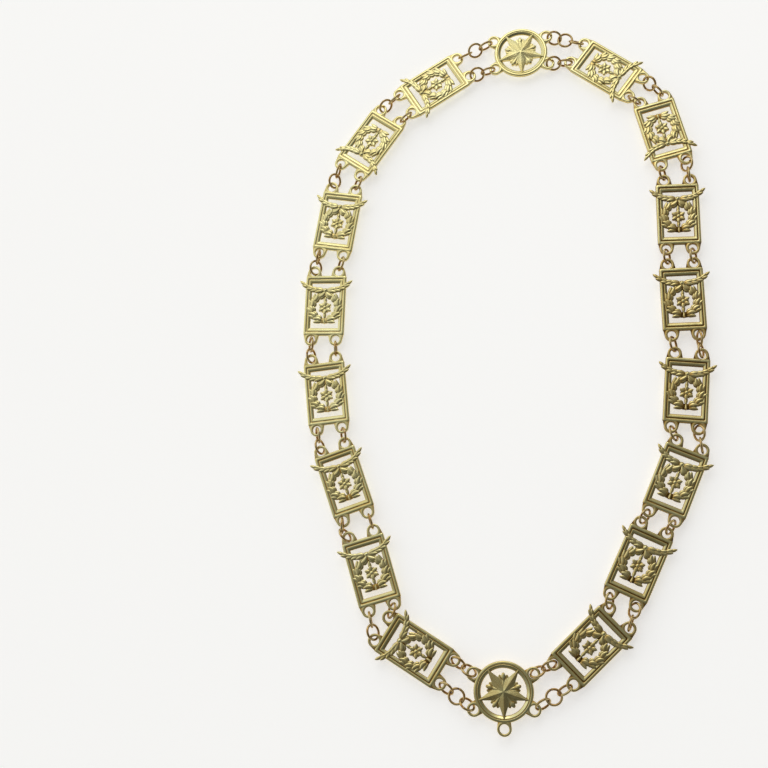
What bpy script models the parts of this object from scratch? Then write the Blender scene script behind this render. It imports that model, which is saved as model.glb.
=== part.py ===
"""Chain collar: sixteen pierced plaques and two star medallions joined by double strands of rings.

The collar lies flat in one closed loop, +Z up, back medallion towards +Y and front medallion towards -Y.
Every casting hangs clear of the table at one height, carried by the rings that stand on edge under it.
"""

import math

import bmesh
import bpy
from mathutils import Matrix, Vector

MM = 0.001
FLAT_ANGLE = math.radians(0.5)
MERGE_DISTANCE = 0.001 * MM
CORNER_DISTANCE = 0.01 * MM

# The closed loop: an egg that is broader towards the back.
HALF_LENGTH = 208.0 * MM
HALF_WIDTH = 119.0 * MM
EGG_SHARE = 0.14
EGG_STEPS = 3600
BEND_HALVINGS = 40

# Rings: round wire, closed.
WIRE_DIAMETER = 1.2 * MM
RING_MEAN_DIAMETER = 8.9 * MM
RING_SIDES = 8
RING_CORNER_RADIUS = RING_MEAN_DIAMETER / 2 / math.cos(math.pi / RING_SIDES)
WIRE_SIDES = 4
WIRE_CORNER_RADIUS = 0.72 * MM
RING_SLIDE = 1.7 * MM

# Loops cast on the plaques and medallions.
LOOP_HOLE_RADIUS = 2.95 * MM
LOOP_HOLE_SIDES = 6
LOOP_RADIUS = 4.3 * MM
LOOP_SIDES = 8

# Plaques: local +Y is the head end.
PLATE_HALF_THICKNESS = 1.0 * MM
FRAME_HALF_WIDTH = 13.4 * MM
FRAME_HALF_LENGTH = 20.5 * MM
WINDOW_HALF_WIDTH = 9.2 * MM
WINDOW_HALF_LENGTH = 15.3 * MM
SHOULDER_Y = 14.6 * MM
LOOP_X = 8.1 * MM
LOOP_Y = 23.0 * MM

# Relief inside a plaque.
WREATH_Y = -1.5 * MM
WREATH_OUTER_RADIUS = 10.4 * MM
WREATH_INNER_RADIUS = 7.2 * MM
WREATH_RIDGE = 1.8 * MM
WREATH_SIDES = 12
ROSETTE_RADIUS = 4.3 * MM
ROSETTE_HEIGHT = 2.4 * MM
ROSETTE_EDGE = 0.7 * MM
ROSETTE_SIDES = 6
ROSETTE_TIE = 7.8 * MM
RELIEF_BACK = -0.9 * MM
BACK_STEP = 0.05 * MM  # keeps the backs of two reliefs from lying in one plane

# Laurel sprig across the head of a plaque, in millimetres, from its middle to its tip: a row a section.
SPRIG_BACK = 0.2
SPRIG = [
    # x_mm, y_mm, half_width_mm, ridge_mm
    (0.0, 10.2, 1.6, 2.3),
    (10.6, 12.2, 1.9, 2.4),
]
SPRIG_TIP = (17.4, 17.6, 0.5)
SPRIG_SLANT = 0.45

# Medallions: local +Y is away from the jewel loop.
RIM_SIDES = 18
RIM_PROFILE = [
    # radius_mm, height_mm, down the outer side and back up the inner one
    (17.3, 1.0),
    (17.7, -1.0),
    (13.6, -1.0),
    (14.0, 0.6),
]
RIM_LOOP_REACH = 20.3 * MM
JEWEL_LOOP_REACH = 21.0 * MM
RIM_LOOP_HALF_THICKNESS = 0.9 * MM
RIM_LOOP_ANGLES = (30.0, 150.0, 210.0, 330.0)
JEWEL_LOOP_ANGLE = 270.0
STAR_POINTS = 5
STAR_RADIUS = 14.6 * MM
STAR_WAIST_RADIUS = 5.8 * MM
STAR_PEAK = 2.8 * MM
STAR_EDGE = 0.2 * MM
STAR_TURN = 270.0
RAYS_RADIUS = 10.9 * MM
RAYS_WAIST_RADIUS = 8.0 * MM
RAYS_PEAK = 2.3 * MM
RAYS_EDGE = 0.6 * MM
RAYS_TURN = 90.0

CASTING_COLOUR = (0.83, 0.75, 0.42)
CASTING_ROUGHNESS = 0.22
WIRE_COLOUR = (0.62, 0.45, 0.22)
WIRE_ROUGHNESS = 0.3

# Where each casting lies, in order round the loop: back, down the left side, front, up the right side.
# Each has slid and turned a little from its even place on the egg.
LIE = [
    # name, end that leads, slide_mm along the loop, out_mm, turn_deg
    ("medallion_back", "left", 0.0, 0.0, 5.0),
    ("plaque_left_1", "head", 5.5, -2.5, -1.0),
    ("plaque_left_2", "head", 6.0, 4.0, -3.0),
    ("plaque_left_3", "foot", 6.5, 3.5, 6.0),
    ("plaque_left_4", "foot", 6.5, 2.5, 2.0),
    ("plaque_left_5", "foot", 7.0, 2.5, 0.5),
    ("plaque_left_6", "foot", 7.0, 1.0, 5.0),
    ("plaque_left_7", "foot", 6.35, 3.0, -7.5),
    ("plaque_left_8", "foot", 1.0, 6.0, 17.0),
    ("medallion_front", "right", 0.0, 0.0, 3.0),
    ("plaque_right_8", "head", 2.2, -2.0, 0.0),
    ("plaque_right_7", "head", 1.2, -6.5, 4.0),
    ("plaque_right_6", "head", -1.0, -4.5, -4.0),
    ("plaque_right_5", "head", -2.3, -10.0, 5.0),
    ("plaque_right_4", "head", 0.0, -15.5, 2.0),
    ("plaque_right_3", "head", 1.0, -11.0, -11.0),
    ("plaque_right_2", "foot", 2.0, 1.5, -13.0),
    ("plaque_right_1", "foot", 0.0, 4.0, 1.0),
]

# Which way local +Y points for each leading end, measured from the way round the loop.
LEAD_TURN = {"head": 0.0, "foot": 180.0, "left": -90.0, "right": 90.0}

# The two strands of rings after each casting: how far each ring leans from flat, one angle for each ring.
STRANDS = [
    # outer strand leans_deg, inner strand leans_deg
    ((85, -50, 60), (85, -50)),
    ((70, -65), (80,)),
    ((85, -50), (55,)),
    ((85, -50), (60,)),
    ((65, -65), (85,)),
    ((70, -65), (65,)),
    ((85, -65), (80,)),
    ((85, -50), (60,)),
    ((55, -2, -55), (55, -55)),
    ((60, -2, -65), (-55, 60)),
    ((80, -50), (60,)),
    ((65,), (60,)),
    ((80, -55), (60,)),
    ((65, -80), (60,)),
    ((60,), (60,)),
    ((85, -50), (60,)),
    ((85, -55), (80,)),
    ((55, -2, -55), (85, -50)),
]


def linked(name, mesh, collection):
    """Puts a mesh in the scene as a new object."""
    thing = bpy.data.objects.new(name, mesh)
    collection.objects.link(thing)
    return thing


def evaluated_mesh(thing):
    """Returns the mesh of an object after its modifiers, with the object itself taken away."""
    bpy.context.view_layer.update()
    graph = bpy.context.evaluated_depsgraph_get()
    mesh = bpy.data.meshes.new_from_object(thing.evaluated_get(graph))
    mesh.transform(thing.matrix_world)
    bpy.data.objects.remove(thing)
    work = bmesh.new()
    work.from_mesh(mesh)
    bmesh.ops.remove_doubles(work, verts=work.verts, dist=MERGE_DISTANCE)
    bmesh.ops.dissolve_limit(work, angle_limit=FLAT_ANGLE, verts=work.verts, edges=work.edges)
    bmesh.ops.triangulate(work, faces=work.faces)
    bmesh.ops.recalc_face_normals(work, faces=work.faces)
    work.to_mesh(mesh)
    work.free()
    return mesh


def flat_plate(outline, holes, half_thickness, collection):
    """Returns a flat plate between -half_thickness and +half_thickness, with holes cut through it."""
    curve = bpy.data.curves.new("outline", "CURVE")
    curve.dimensions = "2D"
    curve.fill_mode = "BOTH"
    curve.extrude = half_thickness
    for points in [outline, *holes]:
        spline = curve.splines.new("POLY")
        spline.points.add(len(points) - 1)
        spline.use_cyclic_u = True
        for point, (x, y) in zip(spline.points, points):
            point.co = (x, y, 0.0, 1.0)
    return evaluated_mesh(linked("plate", curve, collection))


def turned(profile, sides, collection):
    """Returns (radius, height) points turned once about Z: a closed ring where they never meet the axis."""
    mesh = bpy.data.meshes.new("profile")
    on_axis = profile[0][0] == 0.0
    edges = [(i, i + 1) for i in range(len(profile) - 1)]
    if not on_axis:
        edges.append((len(profile) - 1, 0))
    mesh.from_pydata([(radius, 0.0, height) for radius, height in profile], edges, [])
    thing = linked("turned", mesh, collection)
    screw = thing.modifiers.new("turn", "SCREW")
    screw.steps = sides
    screw.render_steps = sides
    screw.use_merge_vertices = True
    screw.merge_threshold = CORNER_DISTANCE
    return evaluated_mesh(thing)


def union(meshes, collection):
    """Returns one closed mesh of several overlapping ones."""
    base = linked("union", meshes[0], collection)
    cutters = []
    for mesh in meshes[1:]:
        cutter = linked("added", mesh, collection)
        cutters.append(cutter)
        join = base.modifiers.new("join", "BOOLEAN")
        join.operation = "UNION"
        join.object = cutter
    mesh = evaluated_mesh(base)
    for cutter in cutters:
        bpy.data.objects.remove(cutter)
    return mesh


def polygon(centre, radius, sides, first=0.5):
    """Returns the corners of a regular polygon; first is the first corner's place in steps from +X."""
    step = 2.0 * math.pi / sides
    return [
        (centre[0] + radius * math.cos(angle), centre[1] + radius * math.sin(angle))
        for angle in ((i + first) * step for i in range(sides))
    ]


def plaque_plate(collection):
    """Frame with a rectangular window and four cast loops, as one flat plate."""
    corner = polygon((LOOP_X, LOOP_Y), LOOP_RADIUS, LOOP_SIDES)[: LOOP_SIDES // 2]
    shoulder = (FRAME_HALF_WIDTH, SHOULDER_Y)
    notch = (LOOP_X - LOOP_RADIUS, FRAME_HALF_LENGTH)
    quarter = [shoulder, *corner, notch]
    outline = quarter + [(-x, y) for x, y in reversed(quarter)]
    outline += [(-x, -y) for x, y in quarter] + [(x, -y) for x, y in reversed(quarter)]
    w, h = WINDOW_HALF_WIDTH, WINDOW_HALF_LENGTH
    holes = [[(-w, -h), (w, -h), (w, h), (-w, h)]]
    for sx in (-1, 1):
        for sy in (-1, 1):
            holes.append(polygon((sx * LOOP_X, sy * LOOP_Y), LOOP_HOLE_RADIUS, LOOP_HOLE_SIDES))
    return flat_plate(outline, holes, PLATE_HALF_THICKNESS, collection)


def wreath(collection):
    """Laurel wreath as a ring with a raised ridge."""
    middle = (WREATH_OUTER_RADIUS + WREATH_INNER_RADIUS) / 2
    profile = [(middle, WREATH_RIDGE), (WREATH_OUTER_RADIUS, RELIEF_BACK), (WREATH_INNER_RADIUS, RELIEF_BACK)]
    mesh = turned(profile, WREATH_SIDES, collection)
    mesh.transform(Matrix.Translation((0.0, WREATH_Y, 0.0)))
    return mesh


def rosette(collection):
    """Flower inside the wreath: a low dome drawn out to a point at head and foot to reach the wreath."""
    back = RELIEF_BACK - BACK_STEP
    profile = [(0.0, ROSETTE_HEIGHT), (ROSETTE_RADIUS, ROSETTE_EDGE), (ROSETTE_RADIUS, back), (0.0, back)]
    mesh = turned(profile, ROSETTE_SIDES, collection)
    mesh.transform(Matrix.Rotation(math.pi / 2, 4, "Z"))
    for vert in mesh.vertices:
        if abs(vert.co.y) > ROSETTE_RADIUS - CORNER_DISTANCE:
            vert.co.y = math.copysign(ROSETTE_TIE, vert.co.y)
    mesh.transform(Matrix.Translation((0.0, WREATH_Y, 0.0)))
    return mesh


def sprig():
    """Laurel sprig across the head of the plaque: a loft of three-cornered sections, pointed at both tips."""
    rows = [(-x, y, half, ridge) for x, y, half, ridge in reversed(SPRIG[1:])] + SPRIG
    work = bmesh.new()
    sections = []
    for x, y, half, ridge in rows:
        slant = math.copysign(SPRIG_SLANT * half, x) if x else 0.0
        corners = [(x + slant, y - half, SPRIG_BACK), (x - slant, y + half, SPRIG_BACK), (x, y, ridge)]
        sections.append([work.verts.new(Vector(corner) * MM) for corner in corners])
    for near, far in zip(sections[:-1], sections[1:]):
        for i in range(3):
            j = (i + 1) % 3
            work.faces.new((near[i], near[j], far[j], far[i]))
    for side, section in ((-1, sections[0]), (1, sections[-1])):
        tip = work.verts.new(Vector((side * SPRIG_TIP[0], *SPRIG_TIP[1:])) * MM)
        for i in range(3):
            work.faces.new((section[i], section[(i + 1) % 3], tip))
    bmesh.ops.recalc_face_normals(work, faces=work.faces)
    mesh = bpy.data.meshes.new("sprig")
    work.to_mesh(mesh)
    work.free()
    return mesh


def star(radius, waist, peak, edge, turn_deg, back):
    """Faceted star: a cone whose alternate rim corners are drawn in, standing on a straight side."""
    work = bmesh.new()
    cone = bmesh.ops.create_cone(
        work, cap_ends=True, segments=2 * STAR_POINTS, radius1=radius, radius2=0.0, depth=peak - edge
    )
    turn = Matrix.Rotation(math.radians(turn_deg), 4, "Z")
    rim = [v for v in cone["verts"] if v.co.z < 0]
    rim.sort(key=lambda v: math.atan2(v.co.y, v.co.x))
    for i, vert in enumerate(rim):
        angle = i * math.pi / STAR_POINTS
        reach = radius if i % 2 == 0 else waist
        vert.co = Vector((reach * math.cos(angle), reach * math.sin(angle), vert.co.z))
    bmesh.ops.remove_doubles(work, verts=work.verts, dist=CORNER_DISTANCE)
    bmesh.ops.translate(work, verts=work.verts, vec=(0.0, 0.0, (peak + edge) / 2))
    under = [f for f in work.faces if len(f.verts) == 2 * STAR_POINTS]
    walls = bmesh.ops.extrude_face_region(work, geom=under)
    for vert in [g for g in walls["geom"] if isinstance(g, bmesh.types.BMVert)]:
        vert.co.z = back
    bmesh.ops.delete(work, geom=under, context="FACES_ONLY")
    bmesh.ops.transform(work, matrix=turn, verts=work.verts)
    bmesh.ops.recalc_face_normals(work, faces=work.faces)
    mesh = bpy.data.meshes.new("star")
    work.to_mesh(mesh)
    work.free()
    return mesh


def rim_loop(angle_deg, reach, collection):
    """One flat loop standing out from the medallion's rim, its hole at the given reach."""
    angle = math.radians(angle_deg)
    outer = polygon((0.0, 0.0), LOOP_RADIUS, LOOP_SIDES)
    hole = polygon((0.0, 0.0), LOOP_HOLE_RADIUS, LOOP_HOLE_SIDES)
    mesh = flat_plate(outer, [hole], RIM_LOOP_HALF_THICKNESS, collection)
    place = Matrix.Rotation(angle, 4, "Z") @ Matrix.Translation((reach, 0.0, 0.0))
    mesh.transform(place)
    return mesh


def plaque_mesh(collection):
    """One whole pierced plaque."""
    parts = [plaque_plate(collection), wreath(collection), rosette(collection), sprig()]
    return union(parts, collection)


def medallion_mesh(with_jewel_loop, collection):
    """One whole round medallion with a star in its rim."""
    rim = turned([(r * MM, z * MM) for r, z in RIM_PROFILE], RIM_SIDES, collection)
    loops = [rim_loop(angle, RIM_LOOP_REACH, collection) for angle in RIM_LOOP_ANGLES]
    if with_jewel_loop:
        loops.append(rim_loop(JEWEL_LOOP_ANGLE, JEWEL_LOOP_REACH, collection))
    points = star(STAR_RADIUS, STAR_WAIST_RADIUS, STAR_PEAK, STAR_EDGE, STAR_TURN, RELIEF_BACK)
    back = RELIEF_BACK + BACK_STEP
    rays = star(RAYS_RADIUS, RAYS_WAIST_RADIUS, RAYS_PEAK, RAYS_EDGE, RAYS_TURN, back)
    return union([rim, points, rays, *loops], collection)


def egg_point(t):
    """The loop's middle line: t runs from 0 at the back, down the left side, to 2 pi."""
    return Vector((-HALF_WIDTH * math.sin(t) * (1.0 + EGG_SHARE * math.cos(t)), HALF_LENGTH * math.cos(t)))


def even_stations(count):
    """Returns count points evenly spaced along the loop, each with the way round the loop there."""
    points = [egg_point(2.0 * math.pi * i / EGG_STEPS) for i in range(EGG_STEPS + 1)]
    runs = [0.0]
    for a, b in zip(points[:-1], points[1:]):
        runs.append(runs[-1] + (b - a).length)
    stations = []
    step = 0
    for k in range(count):
        target = runs[-1] * k / count
        while runs[step + 1] < target:
            step += 1
        share = (target - runs[step]) / (runs[step + 1] - runs[step])
        way = (points[step + 1] - points[step]).normalized()
        stations.append((points[step].lerp(points[step + 1], share), way))
    return stations


def lie_of_castings():
    """Returns each casting's place: name, leading end, middle and turn about Z in radians."""
    places = []
    for (name, lead, slide, out, turn), (point, way) in zip(LIE, even_stations(len(LIE))):
        outward = Vector((way.y, -way.x))
        middle = point + way * slide * MM + outward * out * MM
        heading = math.atan2(-way.x, way.y) + math.radians(turn + LEAD_TURN[lead])
        places.append((name, lead, middle, heading))
    return places


def loop_holes(name, lead, middle, heading):
    """Returns the loop holes of a casting: entering outer and inner, leaving outer and inner."""
    if name.startswith("plaque"):
        holes = [Vector((sx * LOOP_X, sy * LOOP_Y)) for sx in (-1, 1) for sy in (-1, 1)]
    else:
        angles = [math.radians(a) for a in RIM_LOOP_ANGLES]
        holes = [Vector((math.cos(a), math.sin(a))) * RIM_LOOP_REACH for a in angles]
    onward = math.radians(90.0 - LEAD_TURN[lead])
    forward = Vector((math.cos(onward), math.sin(onward)))
    outward = Vector((forward.y, -forward.x))
    turn = Matrix.Rotation(heading, 2)
    sides = {}
    for hole in holes:
        sides[(hole.dot(forward) > 0, hole.dot(outward) > 0)] = middle + turn @ hole
    return {
        "enter": (sides[(False, True)], sides[(False, False)]),
        "leave": (sides[(True, True)], sides[(True, False)]),
    }


def bent_run(lengths, bend):
    """Returns how far apart the ends of a chain lie when its pieces fan from +bend to -bend."""
    count = len(lengths)
    angles = [bend * (1.0 - 2.0 * k / (count - 1)) for k in range(count)] if count > 1 else [0.0]
    return sum(run * math.cos(a) for run, a in zip(lengths, angles)), angles


def strand_rings(start, end, count):
    """Lays count interlocked rings between two loop holes.

    The end rings slide in the holes to take up slack; what is left over bows the strand outwards.
    Returns the middle of each ring and the way its row runs.
    """
    span = (end - start).length
    way = (end - start) / span
    mean, wire = RING_MEAN_DIAMETER, WIRE_DIAMETER
    lengths = [mean - wire / 2 * ((k > 0) + (k < count - 1)) for k in range(count)]
    slack = sum(lengths) - span
    slide = max(-RING_SLIDE, min(RING_SLIDE, slack / 2))
    if slack < -2 * RING_SLIDE:
        raise ValueError(f"a strand of {count} rings cannot span {span / MM:.1f} mm")
    low, high = 0.0, math.pi / 2
    for _ in range(BEND_HALVINGS):
        bend = (low + high) / 2
        if bent_run(lengths, bend)[0] > span + 2 * slide:
            low = bend
        else:
            high = bend
    angles = bent_run(lengths, low)[1]
    joint = start - way * slide
    rings = []
    for k, (run, angle) in enumerate(zip(lengths, angles)):
        onward = Matrix.Rotation(-angle, 2) @ way
        ring_start = joint - onward * (wire / 2 if k else 0.0)
        rings.append((ring_start + onward * (mean / 2), onward))
        joint = joint + onward * run
    return rings


def ring_mesh(middle, way, lean_deg):
    """One closed ring, leaning about its own row, as a torus in the table's frame."""
    bpy.ops.mesh.primitive_torus_add(
        major_segments=RING_SIDES,
        minor_segments=WIRE_SIDES,
        major_radius=RING_CORNER_RADIUS,
        minor_radius=WIRE_CORNER_RADIUS,
    )
    thing = bpy.context.object
    mesh = thing.data
    bpy.data.objects.remove(thing)
    mesh.transform(Matrix.Rotation(math.pi / RING_SIDES, 4, "Z"))
    place = Matrix.Translation((middle.x, middle.y, 0.0))
    heading = Matrix.Rotation(math.atan2(way.y, way.x), 4, "Z")
    lean = Matrix.Rotation(math.radians(lean_deg), 4, "X")
    mesh.transform(place @ heading @ lean)
    return mesh


def finish(name, colour, roughness):
    """A plain metal material."""
    material = bpy.data.materials.new(name)
    material.use_nodes = True
    shader = material.node_tree.nodes["Principled BSDF"]
    shader.inputs["Base Color"].default_value = (*colour, 1.0)
    shader.inputs["Metallic"].default_value = 1.0
    shader.inputs["Roughness"].default_value = roughness
    return material


def short_name(name):
    """The casting's name without its kind."""
    return name.replace("medallion_", "").replace("plaque_", "")


def build():
    """Makes the whole collar and sets it on the table with its middle at the origin."""
    for thing in list(bpy.data.objects):
        bpy.data.objects.remove(thing)
    collection = bpy.data.collections.new("chain_collar")
    bpy.context.scene.collection.children.link(collection)
    root = linked("collar_root", None, collection)
    gilt = finish("gilt_casting", CASTING_COLOUR, CASTING_ROUGHNESS)
    wire = finish("gilt_wire", WIRE_COLOUR, WIRE_ROUGHNESS)

    meshes = {
        "plaque": plaque_mesh(collection),
        "medallion_back": medallion_mesh(False, collection),
        "medallion_front": medallion_mesh(True, collection),
    }
    for mesh in meshes.values():
        mesh.materials.append(gilt)

    pieces = []
    places = lie_of_castings()
    for name, _, middle, heading in places:
        thing = linked(name, meshes.get(name, meshes["plaque"]), collection)
        thing.location = (middle.x, middle.y, 0.0)
        thing.rotation_euler = (0.0, 0.0, heading)
        pieces.append(thing)

    for k, leans in enumerate(STRANDS):
        here, there = places[k], places[(k + 1) % len(places)]
        starts = loop_holes(*here)["leave"]
        ends = loop_holes(*there)["enter"]
        for row, side in enumerate(("outer", "inner")):
            rings = strand_rings(starts[row], ends[row], len(leans[row]))
            parts = [ring_mesh(middle, way, lean) for (middle, way), lean in zip(rings, leans[row])]
            mesh = union(parts, collection) if len(parts) > 1 else parts[0]
            mesh.materials.append(wire)
            name = f"rings_{short_name(here[0])}_{short_name(there[0])}_{side}"
            pieces.append(linked(name, mesh, collection))

    for thing in pieces:
        thing.parent = root
    bpy.context.view_layer.update()
    points = [thing.matrix_world @ v.co for thing in pieces for v in thing.data.vertices]
    low = Vector([min(p[i] for p in points) for i in range(3)])
    high = Vector([max(p[i] for p in points) for i in range(3)])
    root.location = (-(low.x + high.x) / 2, -(low.y + high.y) / 2, -low.z)


build()
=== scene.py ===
"""Dressed model of a gilt chain collar that lies in one closed loop, with its floor, light and camera.

Sixteen pierced plaques and two star medallions are cast pieces, and strands of wire rings join them.
Every piece is worked out in millimetres round its own middle and then put in its place in the collar.
"""

import logging
import math
from collections.abc import Iterator
from dataclasses import dataclass, field, replace
from enum import Enum

import bpy
import numpy as np
from mathutils import Matrix, Vector


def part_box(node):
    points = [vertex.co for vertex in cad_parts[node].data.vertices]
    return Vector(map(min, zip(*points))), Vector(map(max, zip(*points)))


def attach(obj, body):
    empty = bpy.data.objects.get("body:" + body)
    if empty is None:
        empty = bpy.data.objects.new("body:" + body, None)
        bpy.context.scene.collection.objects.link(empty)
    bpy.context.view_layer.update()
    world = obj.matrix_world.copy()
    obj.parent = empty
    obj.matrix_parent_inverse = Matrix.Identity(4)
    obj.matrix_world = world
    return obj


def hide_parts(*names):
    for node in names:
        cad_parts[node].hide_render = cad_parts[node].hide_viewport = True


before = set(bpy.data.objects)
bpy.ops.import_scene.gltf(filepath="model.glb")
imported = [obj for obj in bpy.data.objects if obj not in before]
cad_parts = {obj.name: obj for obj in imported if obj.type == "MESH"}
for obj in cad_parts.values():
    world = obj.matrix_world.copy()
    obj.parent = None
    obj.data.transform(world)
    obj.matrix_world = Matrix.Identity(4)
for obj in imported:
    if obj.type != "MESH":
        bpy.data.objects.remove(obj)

log = logging.getLogger("collar")

MM = 0.001
BODY = "root"
# name of the mesh attribute that holds each corner's painted shade, darkest in hollows, grooves and on walls
HOLLOW = "hollow"
WELD = 0.0002
SHARP_EDGE = math.radians(48.0)
FULL_TURN = 2.0 * math.pi
HALF_CIRCLE = 180.0
GOLDEN_ANGLE = math.pi * (3.0 - math.sqrt(5.0))
TINY = 1e-6

# places of the cast loops, in millimetres and degrees
PLAQUE_LOOP = (8.1, 23.0)
RIM_LOOP_REACH = 20.3
RIM_LOOP_ANGLES = (30.0, 150.0, 210.0, 330.0)

# numbers of the colour sockets of Blender's mix node
MIX_COLOURS = (6, 7)
MIX_RESULT = 2


class Slot(Enum):
    """Finishes that the record names."""

    CASTING = "gilt_casting"
    WIRE = "gilt_wire"


class Lead(Enum):
    """End of a casting that comes first on the way round, as the turn it asks for in degrees."""

    HEAD = 0.0
    FOOT = 180.0
    LEFT = -90.0
    RIGHT = 90.0


# ---------------------------------------------------------------- surfaces


@dataclass
class Shell:
    """Closed surface in millimetres.

    Attributes:
        points: Corners, one row each.
        faces: Four corner numbers a row; a triangle repeats its last one.
        hollow: Painted shade at each corner, from 0 to 1, most in hollows, grooves and on walls.
    """

    points: np.ndarray
    faces: np.ndarray
    hollow: np.ndarray

    def closed(self) -> "Shell":
        """Welds coinciding corners, drops empty faces and turns the rest outwards.

        Formula: corners that round to the same step of WELD are one. The signed volume, a sixth of
        the sum of corner . (corner x corner) over all faces, is above zero when they face outwards.

        Returns:
            The welded shell.
        """
        keys = np.round(self.points / WELD).astype(np.int64)
        _, first, number = np.unique(keys, axis=0, return_index=True, return_inverse=True)
        points = self.points[first]
        faces = number.reshape(-1)[self.faces]
        same = faces == np.roll(faces, -1, axis=1)
        folded = (faces[:, 0] == faces[:, 2]) | (faces[:, 1] == faces[:, 3])
        keep = (same.sum(axis=1) <= 1) & ~folded
        faces, same = faces[keep], same[keep]
        shift = np.where(same.any(axis=1), same.argmax(axis=1) + 2, 0)
        order = (shift[:, None] + np.arange(4)) % 4
        faces = np.take_along_axis(faces, order, axis=1)
        a, b, c, d = (points[faces[:, i]] for i in range(4))
        volume = (np.cross(b, c) * a).sum() + (np.cross(c, d) * a).sum()
        if volume < 0.0:
            faces = faces[:, [1, 0, 3, 2]]
        return Shell(points, faces, self.hollow[first])

    def placed(self, turn: float = 0.0, shift: tuple[float, float, float] = (0.0, 0.0, 0.0)) -> "Shell":
        """Turns the shell about Z and then moves it.

        Args:
            turn: Angle in radians.
            shift: Move in millimetres.

        Returns:
            The shell in its new place.
        """
        cos, sin = math.cos(turn), math.sin(turn)
        matrix = np.array([[cos, sin, 0.0], [-sin, cos, 0.0], [0.0, 0.0, 1.0]])
        return Shell(self.points @ matrix + np.array(shift), self.faces, self.hollow)

    def mirrored(self, axis: int = 0) -> "Shell":
        """Mirrors the shell across the plane through the middle, square to the axis.

        Args:
            axis: Number of the axis, 0 for X.

        Returns:
            The mirrored shell, its faces still outwards.
        """
        flip = np.ones(3)
        flip[axis] = -1.0
        return Shell(self.points * flip, self.faces[:, [1, 0, 3, 2]], self.hollow)


def joined(shells: list[Shell]) -> Shell:
    """Puts shells side by side in one, each still closed in itself.

    Args:
        shells: The shells.

    Returns:
        One shell with all their corners and faces.
    """
    starts = np.cumsum([0] + [len(shell.points) for shell in shells[:-1]])
    faces = [shell.faces + start for shell, start in zip(shells, starts)]
    points = np.concatenate([shell.points for shell in shells])
    hollow = np.concatenate([shell.hollow for shell in shells])
    return Shell(points, np.concatenate(faces), hollow)


def woven(points: np.ndarray, hollow: np.ndarray, round_rows: bool, round_columns: bool) -> Shell:
    """Covers a grid of points with faces.

    Formula: each cell between two rows and two columns is one face; a round direction also joins
    its last line of points to its first.

    Args:
        points: Grid of points, rows by columns by three.
        hollow: Painted shade values that spread over rows by columns.
        round_rows: Whether the last row joins the first.
        round_columns: Whether the last column joins the first.

    Returns:
        The closed shell.
    """
    rows, columns = points.shape[:2]
    number = np.arange(rows * columns).reshape(rows, columns)
    if round_rows:
        number = np.concatenate([number, number[:1]])
    if round_columns:
        number = np.concatenate([number, number[:, :1]], axis=1)
    corners = [number[:-1, :-1], number[1:, :-1], number[1:, 1:], number[:-1, 1:]]
    faces = np.stack(corners, axis=-1).reshape(-1, 4)
    depth = np.broadcast_to(hollow, (rows, columns)).reshape(-1).astype(float)
    return Shell(points.reshape(-1, 3), faces, depth).closed()


def softened(corners: np.ndarray, rounds: int = 2, cut: float = 0.25) -> np.ndarray:
    """Rounds off a closed line of corners.

    Formula: each round puts two points on every edge, the cut's share from either end.

    Args:
        corners: Corners in order, a row each.
        rounds: How many times the corners are cut.
        cut: Share of an edge that a cut takes off.

    Returns:
        The rounded line.
    """
    line = np.asarray(corners, float)
    for _ in range(rounds):
        after = np.roll(line, -1, axis=0)
        keep = 1.0 - cut
        pair = np.stack([keep * line + cut * after, cut * line + keep * after], axis=1)
        line = pair.reshape(-1, line.shape[1])
    return line


def even_angles(count: int) -> np.ndarray:
    """Angles at even steps round a full turn, in radians."""
    return np.arange(count) * FULL_TURN / count


def turned(profile: np.ndarray, segments: int) -> Shell:
    """Turns a closed profile about Z.

    Formula: the point at profile (r, z) and angle t is (r cos t, r sin t, z).

    Args:
        profile: Rows of radius, height and painted shade.
        segments: Steps round.

    Returns:
        The turned ring.
    """
    angle = even_angles(segments)[None, :]
    reach, height = profile[:, 0:1], profile[:, 1:2]
    points = np.stack([reach * np.cos(angle), reach * np.sin(angle), height + 0.0 * angle], axis=-1)
    return woven(points, profile[:, 2:3], True, True)


def rolled(near: np.ndarray, edge: float) -> np.ndarray:
    """Drop of a rounded edge: a quarter circle of radius edge, against the distance from the edge."""
    share = 1.0 - np.clip(near / edge, 0.0, 1.0)
    return edge * (1.0 - np.sqrt(1.0 - share**2))


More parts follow.
